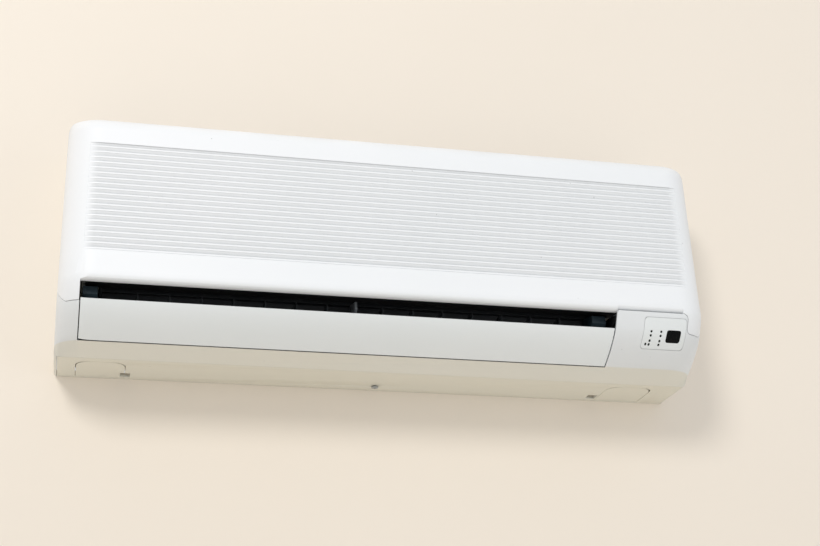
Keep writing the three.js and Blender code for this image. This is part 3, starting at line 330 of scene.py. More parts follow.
def lipRounding(x0, x1, bottom):
    front = form["lipFront"] + 0.0006
    radius = form["lipRadius"]
    bend = arc(front + radius, bottom + radius, radius, 180, 270, 12)
    away = [(front + radius, bottom - 0.02), (-far, bottom - 0.02)]
    return prism([(-far, bottom + radius), *bend, *away], "x", x0, x1)


def grilleWindow():
    half = panel["grilleHalf"]
    low, high = form["faceFoot"][1], form["faceTop"][1]
    return prism([(-far, low), (-0.1, low), (-0.1, high), (-far, high)], "x", -half, half)


def panelShell():
    body = common(copied(shell, "front_panel_shell"), prism(panelSide(0), "x", -0.5, 0.5))
    cut(body, prism(panelMouth(0), "y", -far, 0), grilleWindow())
    left, right, earEnd = outlet["left"], outlet["right"], panel["displayEarX"] + 0.008
    overOutlet = lip(left - 0.008, right + 0.006, form["lipBottom"])
    added(body, overOutlet, lip(right, earEnd, panel["displayTop"]))
    return cut(
        body,
        lipRounding(left - 0.0005, right + 0.0003, form["lipBottom"]),
        lipRounding(right + 0.0003, panel["displayEarX"] - form["lipRadius"], panel["displayTop"]),
    )


louvre = {"count": 20, "edge": 0.0024, "depth": 0.0046, "drop": 0.0068, "wall": 0.0014, "round": 0.0005,
          "fade": 0.012}


# one louvre: a bright upright edge in front and a thin blade that falls away steeply behind it
def louvreOutline():
    edge, depth, drop, wall = louvre["edge"], louvre["depth"], louvre["drop"], louvre["wall"]
    radius = louvre["round"]
    return [
        *[(0.0003 + n, rise) for n, rise in arc(radius, radius, radius, 270, 180, 4)],
        *[(0.0003 + n, rise) for n, rise in arc(radius, edge - radius, radius, 180, 60, 5)],
        (depth, edge - drop), (depth - 0.0004, edge - drop - wall),
    ]


# towards the grille's ends the grooves run out level with the face
def louvres():
    half = panel["grilleHalf"] + 0.002
    straight = form["half"] - form["cornerRadius"]
    bends = [straight + (half - straight) * step / 10 for step in range(11)]
    stations = [-x for x in reversed(bends)] + bends
    low = form["faceFoot"][1]
    pitch = (form["faceTop"][1] - low) / louvre["count"]
    bm = bmesh.new()
    for index in range(louvre["count"] + 1):
        foot = low + index * pitch + 0.0006
        drawnThrough(bm, [behindFace(n, foot + rise) for n, rise in louvreOutline()], stations)
    for vert in bm.verts:
        left = (half - abs(vert.co.x)) / louvre["fade"]
        face = faceY(vert.co.z) + 0.0003
        vert.co.y = face + (vert.co.y - face) * min(1, 0.06 + 0.94 * max(0, left))
        vert.co.y += drawnBack(vert.co.x, form["cornerRadius"], form["half"])
    return objectFrom(bm, "front_panel_louvres")


# ribs behind the louvres, and the hinge pins
def panelInside():
    foot, head = form["faceFoot"][1] - panel["ribPast"], form["faceTop"][1] + panel["ribPast"]
    bm = bmesh.new()
    for x in panel["ribPlaces"]:
        drawnOut(bm, slab(*panel["ribDepth"], foot, head), "x", x - 0.001, x + 0.001)
    hingeY, hingeZ = panel["hinge"]
    for x in panel["pinPlaces"]:
        lug = [(hingeY - 0.0025, hingeZ - 0.0023), (hingeY + 0.002, hingeZ - 0.0023),
               (hingeY + 0.002, form["height"] - 0.001), (hingeY - 0.0025, form["height"] - 0.001)]
        drawnOut(bm, lug, "x", x, x + panel["lugWidth"])
        pin = arc(hingeY, hingeZ, panel["pinRadius"], 0, 345, 23)
        drawnOut(bm, pin, "x", x + 0.001, x + panel["lugWidth"] + panel["pinLength"])
    return objectFrom(bm, "front_panel_inside")


frontShell = panelShell()
frontLouvres = louvres()
frontInside = panelInside()
print("front panel built")

# front casing
casing = {
    "topSlotHalf": 0.372,
    "topSlotRows": 5,
    "topSlotColumns": 7,
    "topSlotBar": 0.006,
    "topSlotFront": -0.098,
    "topSlotRear": -0.022,
    "railGap": 0.0132,
    "railWall": 0.002,
    "railSpan": (0.1, 0.27),
    "crossRails": [(0.2662, 0.005), (0.0998, 0.006)],
    "crossHalf": 0.378,
    "cheekX": 0.3794,
    "cheekSpan": (0.101, 0.27),
    "cheekRear": -0.07,
    "bracketPlaces": [-0.374, -0.050, 0.272],
    "filterEdges": [(-0.369, -0.357), (-0.056, -0.044), (0.266, 0.278)],
    "chassisHalf": 0.3966,
    "sweep": 0.018,
    "pivot": (-0.1254, 0.0343),
}
displayArea = {"x0": 0.312, "x1": 0.368, "z0": 0.037, "z1": 0.0717}


def displayHole(grow):
    area = displayArea
    outline = roundedRect(area["x0"] - grow, area["x1"] + grow, area["z0"] - grow, area["z1"] + grow, 0.004)
    return prism(outline, "y", -far, -0.12)


# the louvred top is one block of bars, cut out in a single pass
def topSlots():
    bm = bmesh.new()
    bar = casing["topSlotBar"]
    width = (2 * casing["topSlotHalf"] - bar * (casing["topSlotColumns"] - 1)) / casing["topSlotColumns"]
    depth = casing["topSlotRear"] - casing["topSlotFront"] - bar * (casing["topSlotRows"] - 1)
    depth /= casing["topSlotRows"]
    for column in range(casing["topSlotColumns"]):
        for row in range(casing["topSlotRows"]):
            x = -casing["topSlotHalf"] + column * (width + bar)
            y = casing["topSlotFront"] + row * (depth + bar)
            outline = roundedRect(x, x + width, y, y + depth, 0.002, 3)
            drawnOut(bm, outline, "z", form["height"] - 0.01, form["height"] + 0.005)
    return objectFrom(bm, "cutter")


def outletOpening():
    foot = outlet["foot"]
    side = [(-far, 0.11), (-far, -0.02), (foot, -0.02), (foot, 0.026), (-0.098, 0.046), (-0.098, 0.11)]
    return prism(side, "x", outlet["left"], outlet["right"])


# filter rails, cross members, cheeks and hinge brackets inside the casing
def casingInside():
    near, deep = casing["railGap"], casing["railGap"] + casing["railWall"]
    bm = bmesh.new()
    for x0, x1 in casing["filterEdges"]:
        drawnOut(bm, slab(near, deep, *casing["railSpan"]), "x", x0, x1)
    for z, height in casing["crossRails"]:
        drawnOut(bm, slab(near, deep, z, z + height), "x", -casing["crossHalf"], casing["crossHalf"])
    foot, head = casing["cheekSpan"]
    rear = casing["cheekRear"]
    for x in (-casing["cheekX"], casing["cheekX"]):
        cheek = [behindFace(near + 0.0007, foot), (rear, foot),
                 (rear, head), behindFace(near + 0.0007, head)]
        drawnOut(bm, cheek, "x", x - 0.001, x + 0.001)
        wallEnd = math.copysign(form["half"] - 0.001, x)
        ledge = [(rear - 0.002, foot + 0.0005), (rear + 0.0005, foot + 0.0005),
                 (rear + 0.0005, head - 0.0005), (rear - 0.002, head - 0.0005)]
        drawnOut(bm, ledge, "x", min(x, wallEnd), max(x, wallEnd))
    hingeY, hingeZ = panel["hinge"]
    rear, top = panel["rear"], form["height"] - 0.001
    for x in casing["bracketPlaces"]:
        outline = [behindFace(near, 0.264), (-0.096, 0.264), (-0.096, top), (rear + 0.004, top),
                   (rear + 0.002, 0.276), behindFace(near, 0.271)]
        drawnOut(bm, outline, "x", x - 0.001, x + 0.001)
    reach = panel["pinRadius"] + form["gap"]
    for x in panel["pinPlaces"]:
        start = x + panel["lugWidth"] + 0.0015
        outline = [
            (hingeY - 0.0042, hingeZ - 0.008), (rear + 0.008, hingeZ - 0.008), (rear + 0.008, top),
            (rear + 0.004, top), (rear + 0.004, hingeZ - 0.0022),
            *arc(hingeY, hingeZ, reach, 0, -180, 10), (hingeY - 0.0042, hingeZ),
        ]
        drawnOut(bm, outline, "x", start, start + 0.005)
    return objectFrom(bm, "front_casing_frame")


def casingShell():
    seam = form["seam"]
    opening = cut(prism(panelSide(seam), "x", -0.5, 0.5), prism(panelMouth(seam), "y", -far, 0))
    body = cut(copied(shell, "front_casing_shell"), opening)
    half, crease = casing["chassisHalf"], form["crease"][0]
    chassisPart = block(-half, half, crease - 0.0003, 0.02, -0.02, 0.03)
    pivotY, pivotZ = casing["pivot"]
    sweep = rod(pivotY, pivotZ, casing["sweep"], outlet["left"], outlet["right"], 48)
    return cut(body, outletOpening(), chassisPart, displayHole(form["gap"]), topSlots(), sweep)


frontCasing = casingShell()
casingFrame = casingInside()
print("casing built")

# display cover, its window and its lamps
receiver = {"x0": 0.3425, "x1": 0.3615, "z0": 0.0440, "z1": 0.0578, "radius": 0.0028}
indicator = {
    "radius": 0.0015,
    "places": [
        (0.3176, 0.0417),
        (0.322, 0.0555), (0.322, 0.051), (0.322, 0.0454), (0.322, 0.0415),
        (0.335, 0.0556), (0.335, 0.051), (0.335, 0.0455), (0.335, 0.0416),
    ],
}


def receiverPrism(grow):
    r = receiver
    outline = roundedRect(r["x0"] - grow, r["x1"] + grow, r["z0"] - grow, r["z1"] + grow, r["radius"])
    return prism(outline, "y", -far, -0.12)


def indicatorHoles(radius):
    bm = bmesh.new()
    for x, z in indicator["places"]:
        drawnOut(bm, arc(x, z, radius, 0, 330, 11), "y", -far, -0.12)
    return objectFrom(bm, "cutter")


def displayPieces():
    cover = common(copied(shell, "display_cover_skin"), displayHole(0))
    cut(cover, receiverPrism(0), indicatorHoles(indicator["radius"]))
    window = common(copied(shell, "receiver_lens"), receiverPrism(-form["gap"] / 2))
    lamps = common(copied(shell, "indicator_lamps"), indicatorHoles(indicator["radius"] - 0.0001))
    for vert in lamps.data.vertices:
        vert.co.y += 0.0004
    return cover, window, lamps


displayCover, receiverLens, lamps = displayPieces()
print("display built")

# outlet flap
flap = {
    "lowered": (0.0014, -0.0019),
    "armWall": 0.003,
    "pinRadius": 0.0025,
    "hubRadius": 0.0045,
    "blockLeft": -0.354,
    "blockRight": 0.250,
    "postX": -0.0494,
    "besidePost": 0.0025,
}


def flapPlate():
    curve = flapCurve(0)
    footRun = (curve[-1][0] - curve[-2][0], curve[-1][1] - curve[-2][1])
    length = math.hypot(*footRun)
    back = 0.35 * form["seam"] / length
    end = (curve[-1][0] - footRun[0] * back, curve[-1][1] - footRun[1] * back)
    outside = [(y - 0.006, z - 0.006) for y, z in curve[:-1]] + [(end[0] - 0.0045, end[1] - 0.0085)]
    top = (form["flapTop"][0] + flap["lowered"][0], form["flapTop"][1] + flap["lowered"][1])
    inside = [(end[0] + 0.003, end[1] + 0.006), (top[0] + 0.02, top[1] + 0.008)]
    outline = [*outside, *inside, top]
    start, stop = outlet["left"] + 1.5 * form["seam"], outlet["right"] - 2 * form["seam"]
    return common(copied(shell, "outlet_flap_plate"), prism(outline, "x", start, stop))


def flapArms():
    y, z = casing["pivot"]
    hub, wall = flap["hubRadius"], flap["armWall"]
    web = [
        (y + 0.003, z - hub - 0.001), (y + 0.003, z + 0.002), (y - 0.003, z + hub - 0.001),
        (y - 0.022, z + 0.014), (y - 0.016, z + 0.001), (y - 0.004, z - 0.0106),
    ]
    post, beside = flap["postX"], flap["besidePost"]
    places = [
        flap["blockLeft"] + 0.001, post - beside - wall,
        post + beside, flap["blockRight"] - 0.001 - wall,
    ]
    bm = bmesh.new()
    for x in places:
        drawnOut(bm, web, "x", x, x + wall)
        drawnOut(bm, arc(y, z, hub, 0, 345, 23), "x", x + 0.0001, x + wall - 0.0001)
    pins = [
        (flap["blockLeft"] - 0.010, flap["blockLeft"] + 0.002),
        (post - beside - 0.001, post + beside + 0.001),
        (flap["blockRight"] - 0.002, outlet["right"] + 0.009),
    ]
    for x0, x1 in pins:
        drawnOut(bm, arc(y, z, flap["pinRadius"], 0, 340, 17), "x", x0, x1)
    return objectFrom(bm, "outlet_flap_arms")


flapSkin = flapPlate()
flapWebs = flapArms()
print("flap built")

# evaporator
coil = {
    "left": -0.344,
    "right": 0.254,
    "pitch": 0.0022,
    "finWall": 0.0005,
    "thick": 0.020,
    "tubeRadius": 0.0036,
    "frontFoot": (-0.136, 0.093),
    "frontHead": (-0.114, 0.222),
    "rearFoot": (-0.046, 0.172),
    "rearHead": (-0.106, 0.226),
}


# a stack of fins on straight tubes, leaning from its foot to its head
def finStack(name, foot, head, side, rows):
    runY, runZ = head[0] - foot[0], head[1] - foot[1]
    length = math.hypot(runY, runZ)
    alongY, alongZ = runY / length, runZ / length
    outY, outZ = -alongZ * side, alongY * side

    def at(down, deep):
        return foot[0] + alongY * down + outY * deep, foot[1] + alongZ * down + outZ * deep

    bm = bmesh.new()
    thick = coil["thick"]
    drawnOut(bm, [at(0, 0), at(length, 0), at(length, thick), at(0, thick)], "x", 0, coil["finWall"])
    fin = list(bm.verts) + list(bm.edges) + list(bm.faces)
    count = int((coil["right"] - coil["left"]) / coil["pitch"])
    for index in range(1, count):
        made = bmesh.ops.duplicate(bm, geom=fin)
        moved = [item for item in made["geom"] if isinstance(item, bmesh.types.BMVert)]
        bmesh.ops.translate(bm, verts=moved, vec=(coil["left"] + index * coil["pitch"], 0, 0))
    bmesh.ops.translate(bm, verts=[item for item in fin if isinstance(item, bmesh.types.BMVert)],
                        vec=(coil["left"], 0, 0))
    tubes = bmesh.new()
    for row in range(rows):
        y, z = at(length * (row + 0.5) / rows, thick / 2)
        drawnOut(tubes, arc(y, z, coil["tubeRadius"], 0, 337.5, 15), "x", coil["left"] - 0.0003,
                 coil["right"] + 0.0003)
    return objectFrom(bm, name + "_fins"), objectFrom(tubes, name + "_tubes")


# covers over the fixing claws, a little smaller than their pockets so that the joint line shows
claw = {
    "depth": (-0.066, -0.006),
    "shrink": 0.0004,
    "cornerRadius": 0.018,
    "spans": {"release_cover_left": (-0.374, -0.315), "release_cover_right": (0.301, 0.361)},
    "slots": {"release_cover_left": (-0.3204, -0.3076), "release_cover_right": (0.2856, 0.2994)},
    "slotDepth": (-0.0264, -0.0096),
}


def releaseCover(name):
    x0, x1 = claw["spans"][name]
    front, rear = claw["depth"]
    shrink, radius = claw["shrink"], claw["cornerRadius"]
    x0, x1, front, rear = x0 + shrink, x1 - shrink, front + shrink, rear - shrink
    outline = [
        (x1, rear), (x0, rear),
        *arc(x0 + radius, front + radius, radius, 180, 270, 8),
        *arc(x1 - radius, front + radius, radius, 270, 360, 8),
    ]
    cover = common(copied(shell, name + "_skin"), prism(outline, "z", -0.02, 0.02))
    slotX, slotY = claw["slots"][name], claw["slotDepth"]
    return cut(cover, block(slotX[0], slotX[1], slotY[0], slotY[1], -0.02, 0.02))


clawCovers = {name: releaseCover(name) for name in claw["spans"]}
frontFins, frontTubes = finStack("evaporator_front", coil["frontFoot"], coil["frontHead"], 1, 6)
rearFins, rearTubes = finStack("evaporator_rear", coil["rearFoot"], coil["rearHead"], -1, 4)
print("evaporator built")

# a woven net stretched over each filter frame
net = {"foot": 0.1125, "head": 0.2595, "behind": 0.0119, "wall": 0.0002}
netSpans = {"air_filter_left": (-0.3605, -0.0529), "air_filter_right": (-0.0459, 0.2695)}


def filterNet(name, x0, x1):
    outline = slab(net["behind"], net["behind"] + net["wall"], net["foot"], net["head"])
    return prism(outline, "x", x0, x1, name + "_net")


filterNets = [filterNet(name, x0, x1) for name, (x0, x1) in netSpans.items()]


# materials
# a number on its way through a material's nodes
class Term:
    def __init__(self, tree, socket):
        self.tree = tree
        self.socket = socket

    def worked(self, operation, first, second, clamp=False):
        node = self.tree.nodes.new("ShaderNodeMath")
        node.operation = operation
        node.use_clamp = clamp
        for entry, item in zip(node.inputs, (first, second)):
            if isinstance(item, Term):
                self.tree.links.new(item.socket, entry)
            else:
                entry.default_value = item
        return Term(self.tree, node.outputs[0])

    def __add__(self, other):
        return self.worked("ADD", self, other)

    def __radd__(self, other):
        return self.worked("ADD", other, self)

    def __sub__(self, other):
        return self.worked("SUBTRACT", self, other)

    def __rsub__(self, other):
        return self.worked("SUBTRACT", other, self)

    def __mul__(self, other):
        return self.worked("MULTIPLY", self, other)

    def __rmul__(self, other):
        return self.worked("MULTIPLY", other, self)

    def __truediv__(self, other):
        return self.worked("DIVIDE", self, other)

    def limited(self):
        return self.worked("ADD", self, 0.0, True)

    # 0 below start and 1 above end
    def ramped(self, start, end):
        return ((self - start) / (end - start)).limited()


class Finish:
    def __init__(self, name):
        self.material = bpy.data.materials.new(name)
        self.material.use_nodes = True
        self.tree = self.material.node_tree
        self.tree.nodes.clear()
        self.place = self.node("ShaderNodeTexCoord").outputs["Object"]

    def node(self, kind, settings=None, entries=None):
        made = self.tree.nodes.new(kind)
        for name, value in (settings or {}).items():
            setattr(made, name, value)
        for name, value in (entries or {}).items():
            value = value.socket if isinstance(value, Term) else value
            if isinstance(value, bpy.types.NodeSocket):
                self.tree.links.new(value, made.inputs[name])
            else:
                made.inputs[name].default_value = value
        return made

    def term(self, socket):
        return Term(self.tree, socket)

    def stretched(self, scale):
        return self.node("ShaderNodeMapping", entries={"Vector": self.place, "Scale": scale}).outputs[0]

    def noise(self, scale, detail=3.0, stretch=(1, 1, 1)):
        entries = {"Vector": self.stretched(stretch), "Scale": scale, "Detail": detail}
        return self.term(self.node("ShaderNodeTexNoise", entries=entries).outputs["Fac"])

    def specks(self, scale, size):
        entries = {"Vector": self.place, "Scale": scale, "Randomness": 1.0}
        spots = self.term(self.node("ShaderNodeTexVoronoi", entries=entries).outputs["Distance"])
        return 1.0 - spots.ramped(size * 0.6, size)

    def facing(self, axis):
        split = self.node("ShaderNodeSeparateXYZ")
        self.tree.links.new(self.node("ShaderNodeNewGeometry").outputs["Normal"], split.inputs[0])
        return self.term(split.outputs[axis])

    def height(self):
        split = self.node("ShaderNodeSeparateXYZ", entries={"Vector": self.place})
        return self.term(split.outputs["Z"])

    # 6 and 7 are the colour entries of the Mix node
    def mixed(self, share, first, second):
        made = self.node("ShaderNodeMix", {"data_type": "RGBA"}, {0: share})
        for entry, value in ((6, first), (7, second)):
            if isinstance(value, bpy.types.NodeSocket):
                self.tree.links.new(value, made.inputs[entry])
            else:
                made.inputs[entry].default_value = (*value, 1)
        return made.outputs[2]

    def bump(self, height, distance, strength=1.0):
        entries = {"Height": height, "Distance": distance, "Strength": strength}
        return self.node("ShaderNodeBump", entries=entries).outputs[0]

    def done(self, **entries):
        named = {name.replace("_", " "): value for name, value in entries.items()}
        shader = self.node("ShaderNodeBsdfPrincipled", entries=named)
        out = self.node("ShaderNodeOutputMaterial")
        self.tree.links.new(shader.outputs[0], out.inputs["Surface"])
        return self.material


def linear(red, green, blue):
    parts = [value / 255 for value in (red, green, blue)]
    return tuple(value / 12.92 if value <= 0.04045 else ((value + 0.055) / 1.055) ** 2.4 for value in parts)


# the fold between the slanting front and the underside, below which a beige tint is painted in for the warm
# light bounced up from the wall
foldHeight = form["flapFoot"][1] + 0.0008


# moulded plastic: slow colour drift, a fine grain, dust on what faces up, and below the fold a painted
# beige tint that stands in for warm bounce light
def plastic(name, values):
    f = Finish(name)
    drift = f.noise(3.0, 2.0).ramped(0.3, 0.7)
    body = f.mixed(drift, values["colour"], values["shade"])
    # painted light: below the fold the colour turns beige for the wall's warm bounce light, not for any
    # change in the plastic
    under = (foldHeight + lowerEdge - f.height()).ramped(0.0, 0.0012) * values.get("warmBounce", 0.0)
    warmBounce = f.mixed(under * (0.8 + 0.2 * drift), body, linear(232, 228, 213))
    dust = f.facing("Z").ramped(0.2, 1.0) * f.noise(14.0, 5.0).ramped(0.35, 0.75) * values.get("dust", 0.1)
    dusty = f.mixed(dust, warmBounce, values.get("dustColour", linear(176, 170, 160)))
    dirt = f.specks(60.0, 0.055) * f.noise(7.0, 1.0).ramped(0.56, 0.6) * values.get("specks", 0.4)
    colour = f.mixed(dirt, dusty, linear(96, 92, 84))
    grain = f.noise(900.0, 2.0)
    scuff = f.noise(26.0, 6.0, (0.3, 1, 1)).ramped(0.45, 0.8)
    rough = values["roughness"] + scuff * 0.12 + grain * 0.05 + dust * 0.5
    relief = grain * values.get("grain", 0.5) + f.noise(5.0, 1.0) * 6.0
    return f.done(Base_Color=colour, Roughness=rough, Normal=f.bump(relief, 0.00004, 0.6), IOR=1.46,
                  Specular_IOR_Level=values.get("gloss", 0.5))


# bare or plated metal: brushed along one way, with cloudy tarnish
def metal(name, values):
    f = Finish(name)
    cloud = f.noise(40.0, 5.0).ramped(0.35, 0.75)
    colour = f.mixed(cloud * values.get("tarnish", 0.5), values["colour"], values["tarnishColour"])
    brushed = f.noise(700.0, 2.0, values.get("brush", (0.03, 1, 1)))
    rough = values["roughness"] + cloud * 0.2 + brushed * 0.08
    relief = f.bump(brushed + cloud * 0.5, 0.00003, 0.5)
    return f.done(Base_Color=colour, Metallic=1.0, Roughness=rough, Normal=relief)


# dark net: two crossed sets of threads with open meshes between
def netting(name, values):
    f = Finish(name)
    threads = []
    for stretch in ((1, 0, 0), (0, 0, 1)):
        wave = f.node("ShaderNodeTexWave", {"bands_direction": "DIAGONAL"},
                      {"Vector": f.stretched(stretch), "Scale": values["meshes"], "Distortion": 0.3})
        threads.append(f.term(wave.outputs["Fac"]).ramped(0.45, 0.6))
    both = (threads[0] + threads[1]).limited()
    colour = f.mixed(f.noise(20.0, 4.0).ramped(0.4, 0.7) * 0.5, values["colour"], values["dustColour"])
    relief = f.bump(both, 0.0001)
    return f.done(Base_Color=colour, Alpha=both * 0.9 + 0.1, Roughness=0.75 + both * 0.1, Normal=relief)


# circuit board: green lacquer over copper traces
def board(name, values):
    f = Finish(name)
    entries = {"Vector": f.place, "Scale": 260.0, "Randomness": 0.0}
    cells = f.node("ShaderNodeTexVoronoi", {"distance": "CHEBYCHEV"}, entries)
    pads = 1.0 - f.term(cells.outputs["Distance"]).ramped(0.16, 0.2)
    tracks = f.noise(90.0, 0.0, (1, 1, 0.15)).ramped(0.52, 0.54)
    lacquer = f.mixed(tracks * 0.6, values["colour"], values["track"])
    colour = f.mixed(pads, lacquer, values["solder"])
    return f.done(Base_Color=colour, Metallic=pads * 0.8, Roughness=0.5 - pads * 0.2 + f.noise(60.0) * 0.1,
                  Normal=f.bump(pads + tracks * 0.3, 0.0001))


# the underside share of a look sets how strongly it takes the painted beige tint of warm bounce light below
# the fold
looks = {
    "panel": {"colour": linear(248, 249, 250), "shade": linear(244, 246, 247), "roughness": 0.42,
              "dust": 0.18, "specks": 0.35},
    "casing": {"colour": linear(240, 242, 243), "shade": linear(234, 237, 238), "roughness": 0.44,
               "dust": 0.2, "specks": 0.3, "warmBounce": 0.8},
    "flap": {"colour": linear(243, 246, 246), "shade": linear(238, 242, 242), "roughness": 0.42,
             "dust": 0.1, "specks": 0.2},
    "chassis": {"colour": linear(232, 231, 224), "shade": linear(226, 224, 214), "roughness": 0.5,
                "dust": 0.15, "specks": 0.3, "warmBounce": 0.9},
    "cream": {"colour": linear(232, 231, 224), "shade": linear(226, 224, 214), "roughness": 0.5,
              "specks": 0.3, "warmBounce": 0.95},
    "black": {"colour": linear(13, 14, 15), "shade": linear(19, 19, 20), "roughness": 0.6,
              "dust": 0.12, "dustColour": linear(72, 70, 66), "specks": 0.0},
    "vane": {"colour": linear(48, 51, 54), "shade": linear(40, 43, 46), "roughness": 0.5,
             "dust": 0.35, "dustColour": linear(118, 116, 110), "specks": 0.0},
    "post": {"colour": linear(116, 119, 122), "shade": linear(100, 103, 106), "roughness": 0.5,
             "specks": 0.0},
    "slate": {"colour": linear(46, 62, 70), "shade": linear(38, 52, 60), "roughness": 0.5, "dust": 0.2,
              "specks": 0.0},
    "grey": {"colour": linear(158, 163, 167), "shade": linear(146, 151, 155), "roughness": 0.5,
             "dust": 0.25, "specks": 0.2},
    "rubber": {"colour": linear(30, 30, 31), "shade": linear(38, 38, 38), "roughness": 0.8, "dust": 0.3,
               "dustColour": linear(110, 106, 100), "specks": 0.0, "grain": 1.2},
    "window": {"colour": linear(4, 6, 6), "shade": linear(7, 8, 8), "roughness": 0.5, "dust": 0.0,
               "gloss": 0.12, "specks": 0.0, "grain": 0.1},
    "lamp": {"colour": linear(36, 42, 38), "shade": linear(26, 30, 28), "roughness": 0.2, "specks": 0.0,
             "grain": 0.1},
}
plastics = {name: plastic(name + "_plastic", values) for name, values in looks.items()}
metals = {
    "zinc": metal("zinc_steel", {"colour": linear(190, 194, 197), "tarnishColour": linear(158, 158, 154),
                                 "roughness": 0.38}),
    "fin": metal("fin_aluminium", {"colour": linear(208, 212, 214), "tarnishColour": linear(172, 176, 176),
                                   "roughness": 0.36, "brush": (1, 1, 0.05)}),
    "copper": metal("copper_tube", {"colour": linear(206, 134, 96), "tarnishColour": linear(132, 84, 60),
                                    "roughness": 0.3, "tarnish": 0.8}),
    "brass": metal("brass_nut", {"colour": linear(206, 178, 110), "tarnishColour": linear(142, 116, 66),
                                 "roughness": 0.32, "tarnish": 0.7}),
}
netLook = netting("filter_net", {"colour": linear(64, 74, 84), "dustColour": linear(120, 118, 112),
                                 "meshes": 190.0})
boardLook = board("circuit_board", {"colour": linear(40, 96, 62), "track": linear(58, 128, 84),
                                    "solder": linear(176, 178, 176)})
print("materials built")


# finishing the pieces
def softened(obj, width, segments=3, angle=32):
    for face in obj.data.polygons:
        face.use_smooth = True
    edge = obj.modifiers.new("edges", "BEVEL")
    edge.width = width
    edge.segments = segments
    edge.limit_method = "ANGLE"
    edge.angle_limit = math.radians(angle)
    edge.harden_normals = True
    edge.use_clamp_overlap = True


def settled(obj, body, look, edge=0.0003, stands=()):
    obj.data.transform(Matrix.Translation((0, 0, lowerEdge)))
    obj.data.materials.clear()
    obj.data.materials.append(look)
    softened(obj, edge)
    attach(obj, body)
    if stands:
        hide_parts(*stands)


settled(frontShell, "front_panel", plastics["panel"], 0.0006, ["front_panel"])
settled(frontLouvres, "front_panel", plastics["panel"], 0.0002)
settled(frontInside, "front_panel", plastics["panel"])
settled(frontCasing, "root", plastics["casing"], 0.0005, ["front_casing"])
settled(casingFrame, "root", plastics["casing"])
settled(displayCover, "root", plastics["flap"], 0.0002, ["display_cover"])
settled(receiverLens, "root", plastics["window"], 0.0004, ["receiver_window"])
settled(lamps, "root", plastics["lamp"], 0.0001)
settled(flapSkin, "outlet_flap", plastics["flap"], 0.0005, ["outlet_flap"])
settled(flapWebs, "outlet_flap", plastics["flap"])
settled(frontFins, "root", metals["fin"], 0.00005, ["evaporator_front"])
settled(rearFins, "root", metals["fin"], 0.00005, ["evaporator_rear"])
settled(frontTubes, "root", metals["copper"])
settled(rearTubes, "root", metals["copper"])
for coverName, cover in clawCovers.items():
    settled(cover, "root", plastics["cream"], 0.0006, [coverName])
for netPiece in filterNets:
    settled(netPiece, "root", netLook, 0.00002)
for fins in (frontFins, rearFins):
    fins.modifiers.clear()
for cutter in (outer, shell):
    bpy.data.objects.remove(cutter)

# every other piece keeps its CAD mesh, welded, with softened edges
cadLooks = {
    "rear_chassis": "chassis",
    "outlet_duct": "black",
    "terminal_block": "black",
    "switch_housing": "black",
    "centre_post": "post",
    "drain_pan": "black",
    "cross_flow_fan": "vane",
    "flap_bearing_left": "slate",
    "flap_bearing_right": "slate",
    "fan_bearing": "rubber",
    "drain_plug": "rubber",
    "switch_button": "panel",
    "bottom_screw": "zinc",
    "mounting_plate": "zinc",
    "fan_motor": "zinc",
    "coil_end_left": "copper",
    "coil_end_right": "copper",
    "suction_pipe": "copper",
    "liquid_pipe": "copper",
    "room_sensor": "copper",
    "suction_nut": "brass",
    "liquid_nut": "brass",
}
for name, node in nodes.items():
    if node.hide_render:
        continue
    look = cadLooks.get(name, "vane" if name.startswith("vane_") and name[-1].isdigit() else "grey")
    material = {**plastics, **metals}[look]
    if name in ("control_board", "display_board"):
        material = boardLook
    node.data.materials.clear()
    node.data.materials.append(material)
    weld = node.modifiers.new("weld", "WELD")
    weld.merge_threshold = 0.00001
    softened(node, 0.0003, 2)
print("pieces finished")

# wall and floor
stageSizes = {"wallHalf": 4.0, "wallTop": 3.0, "floorZ": -2.2, "floorHalf": 12.0, "wallBehind": -0.0003,
              "openHalf": 0.3975, "openLow": -0.142, "openTop": 0.1405}


# seen from in front only, and a hair before the unit's back, so that views from behind show it in light
def wallMaterial():
    f = Finish("painted_wall")
    colour = f.mixed(f.noise(0.8, 3.0).ramped(0.3, 0.7), linear(250, 240, 226), linear(247, 236, 221))
    roller = f.noise(160.0, 3.0)
    paint = f.node("ShaderNodeBsdfPrincipled", entries={
        "Base Color": colour, "Roughness": 0.8 + roller * 0.1, "Normal": f.bump(roller, 0.0002, 0.3)})
    clear = f.node("ShaderNodeBsdfTransparent")
    behind = f.term(f.node("ShaderNodeNewGeometry").outputs["Backfacing"])
    mix = f.node("ShaderNodeMixShader", entries={0: behind})
    f.tree.links.new(paint.outputs[0], mix.inputs[1])
    f.tree.links.new(clear.outputs[0], mix.inputs[2])
    out = f.node("ShaderNodeOutputMaterial")
    f.tree.links.new(mix.outputs[0], out.inputs["Surface"])
    return f.material


def floorMaterial():
    f = Finish("pale_floor")
    colour = f.mixed(f.noise(0.6, 3.0).ramped(0.3, 0.7), linear(236, 235, 231), linear(231, 229, 224))
    grain = f.noise(40.0, 3.0)
    return f.done(Base_Color=colour, Roughness=0.7 + grain * 0.1, Normal=f.bump(grain, 0.0005, 0.3))


def plane(name, corners, material):
    bm = bmesh.new()
    bm.faces.new([bm.verts.new(corner) for corner in corners])
    mesh = bpy.data.meshes.new(name)
    bm.to_mesh(mesh)
    bm.free()
    made = bpy.data.objects.new(name, mesh)
    made.data.materials.append(material)
    scene.collection.objects.link(made)
    return made


half, y, low, top = [stageSizes[key] for key in ("wallHalf", "wallBehind", "floorZ", "wallTop")]
wallCorners = [(-half, y, low), (half, y, low), (half, y, top), (-half, y, top)]
wall = plane("wall", wallCorners, wallMaterial())


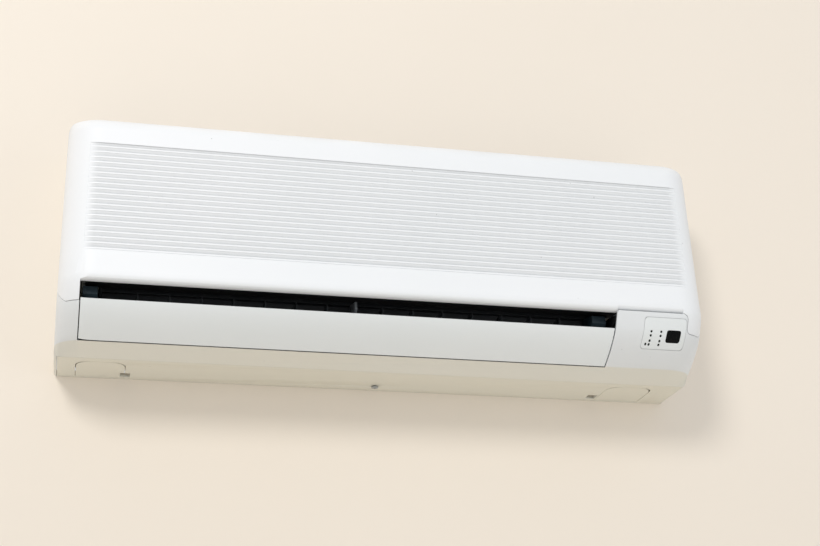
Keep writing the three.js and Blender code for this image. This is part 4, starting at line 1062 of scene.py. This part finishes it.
# the wall is open behind the unit, so that the unit's back gets light in views from behind
def openWall():
    half, low, top = [stageSizes[key] for key in ("openHalf", "openLow", "openTop")]
    bm = bmesh.new()
    bm.from_mesh(wall.data)
    sideways, upwards = (1, 0, 0), (0, 0, 1)
    for x, z, away in ((-half, 0, sideways), (half, 0, sideways), (0, low, upwards), (0, top, upwards)):
        everything = bm.verts[:] + bm.edges[:] + bm.faces[:]
        bmesh.ops.bisect_plane(bm, geom=everything, dist=0.000001, plane_co=(x, 0, z), plane_no=away)
    middles = [(face, face.calc_center_median()) for face in bm.faces]
    hidden = [face for face, middle in middles if abs(middle.x) < half and low < middle.z < top]
    bmesh.ops.delete(bm, geom=hidden, context="FACES")
    bm.to_mesh(wall.data)
    bm.free()


openWall()
wide = stageSizes["floorHalf"]
floorCorners = [(-wide, -wide, low), (wide, -wide, low), (wide, wide, low), (-wide, wide, low)]
plane("floor", floorCorners, floorMaterial())

# light
worldValues = {"colour": linear(238, 240, 244), "strength": 0.73}
world = bpy.data.worlds.new("studio")
scene.world = world
world.use_nodes = True
background = world.node_tree.nodes["Background"]
background.inputs["Color"].default_value = (*worldValues["colour"], 1)
background.inputs["Strength"].default_value = worldValues["strength"]

lampAim = (0, -0.1, 0)
lampValues = {
    "key": {"place": (-1.3, -2.8, 1.5), "size": 0.9, "power": 41, "colour": (1, 0.985, 0.96)},
    "fill": {"place": (2.4, -2.4, -0.4), "size": 2.6, "power": 10, "colour": (0.94, 0.97, 1)},
}


def areaLamp(name, values):
    data = bpy.data.lights.new(name, "AREA")
    data.shape = "DISK"
    data.size = values["size"]
    data.energy = values["power"]
    data.color = values["colour"]
    lamp = bpy.data.objects.new(name, data)
    lamp.location = values["place"]
    aim = Vector(lampAim) - Vector(values["place"])
    lamp.rotation_euler = aim.to_track_quat("-Z", "Y").to_euler()
    scene.collection.objects.link(lamp)


for lampName, values in lampValues.items():
    areaLamp(lampName, values)

# camera
cameraValues = {
    "place": (-0.36455, -1.81872, -0.55341),
    "lens": 64.30,
    "sensor": 36.0,
    "upwards": 16.868,
    "turned": -12.881,
    "tilted": -0.129,
}
cameraData = bpy.data.cameras.new("camera")
cameraData.lens = cameraValues["lens"]
cameraData.sensor_width = cameraValues["sensor"]
camera = bpy.data.objects.new("camera", cameraData)
camera.location = cameraValues["place"]
turn = Matrix.Rotation(math.radians(cameraValues["turned"]), 3, "Z")
lift = Matrix.Rotation(math.radians(90 + cameraValues["upwards"]), 3, "X")
tilt = Matrix.Rotation(math.radians(cameraValues["tilted"]), 3, "Z")
camera.rotation_euler = (turn @ lift @ tilt).to_euler()
scene.collection.objects.link(camera)
scene.camera = camera
scene.view_settings.view_transform = "Standard"
print("stage, light and camera ready")
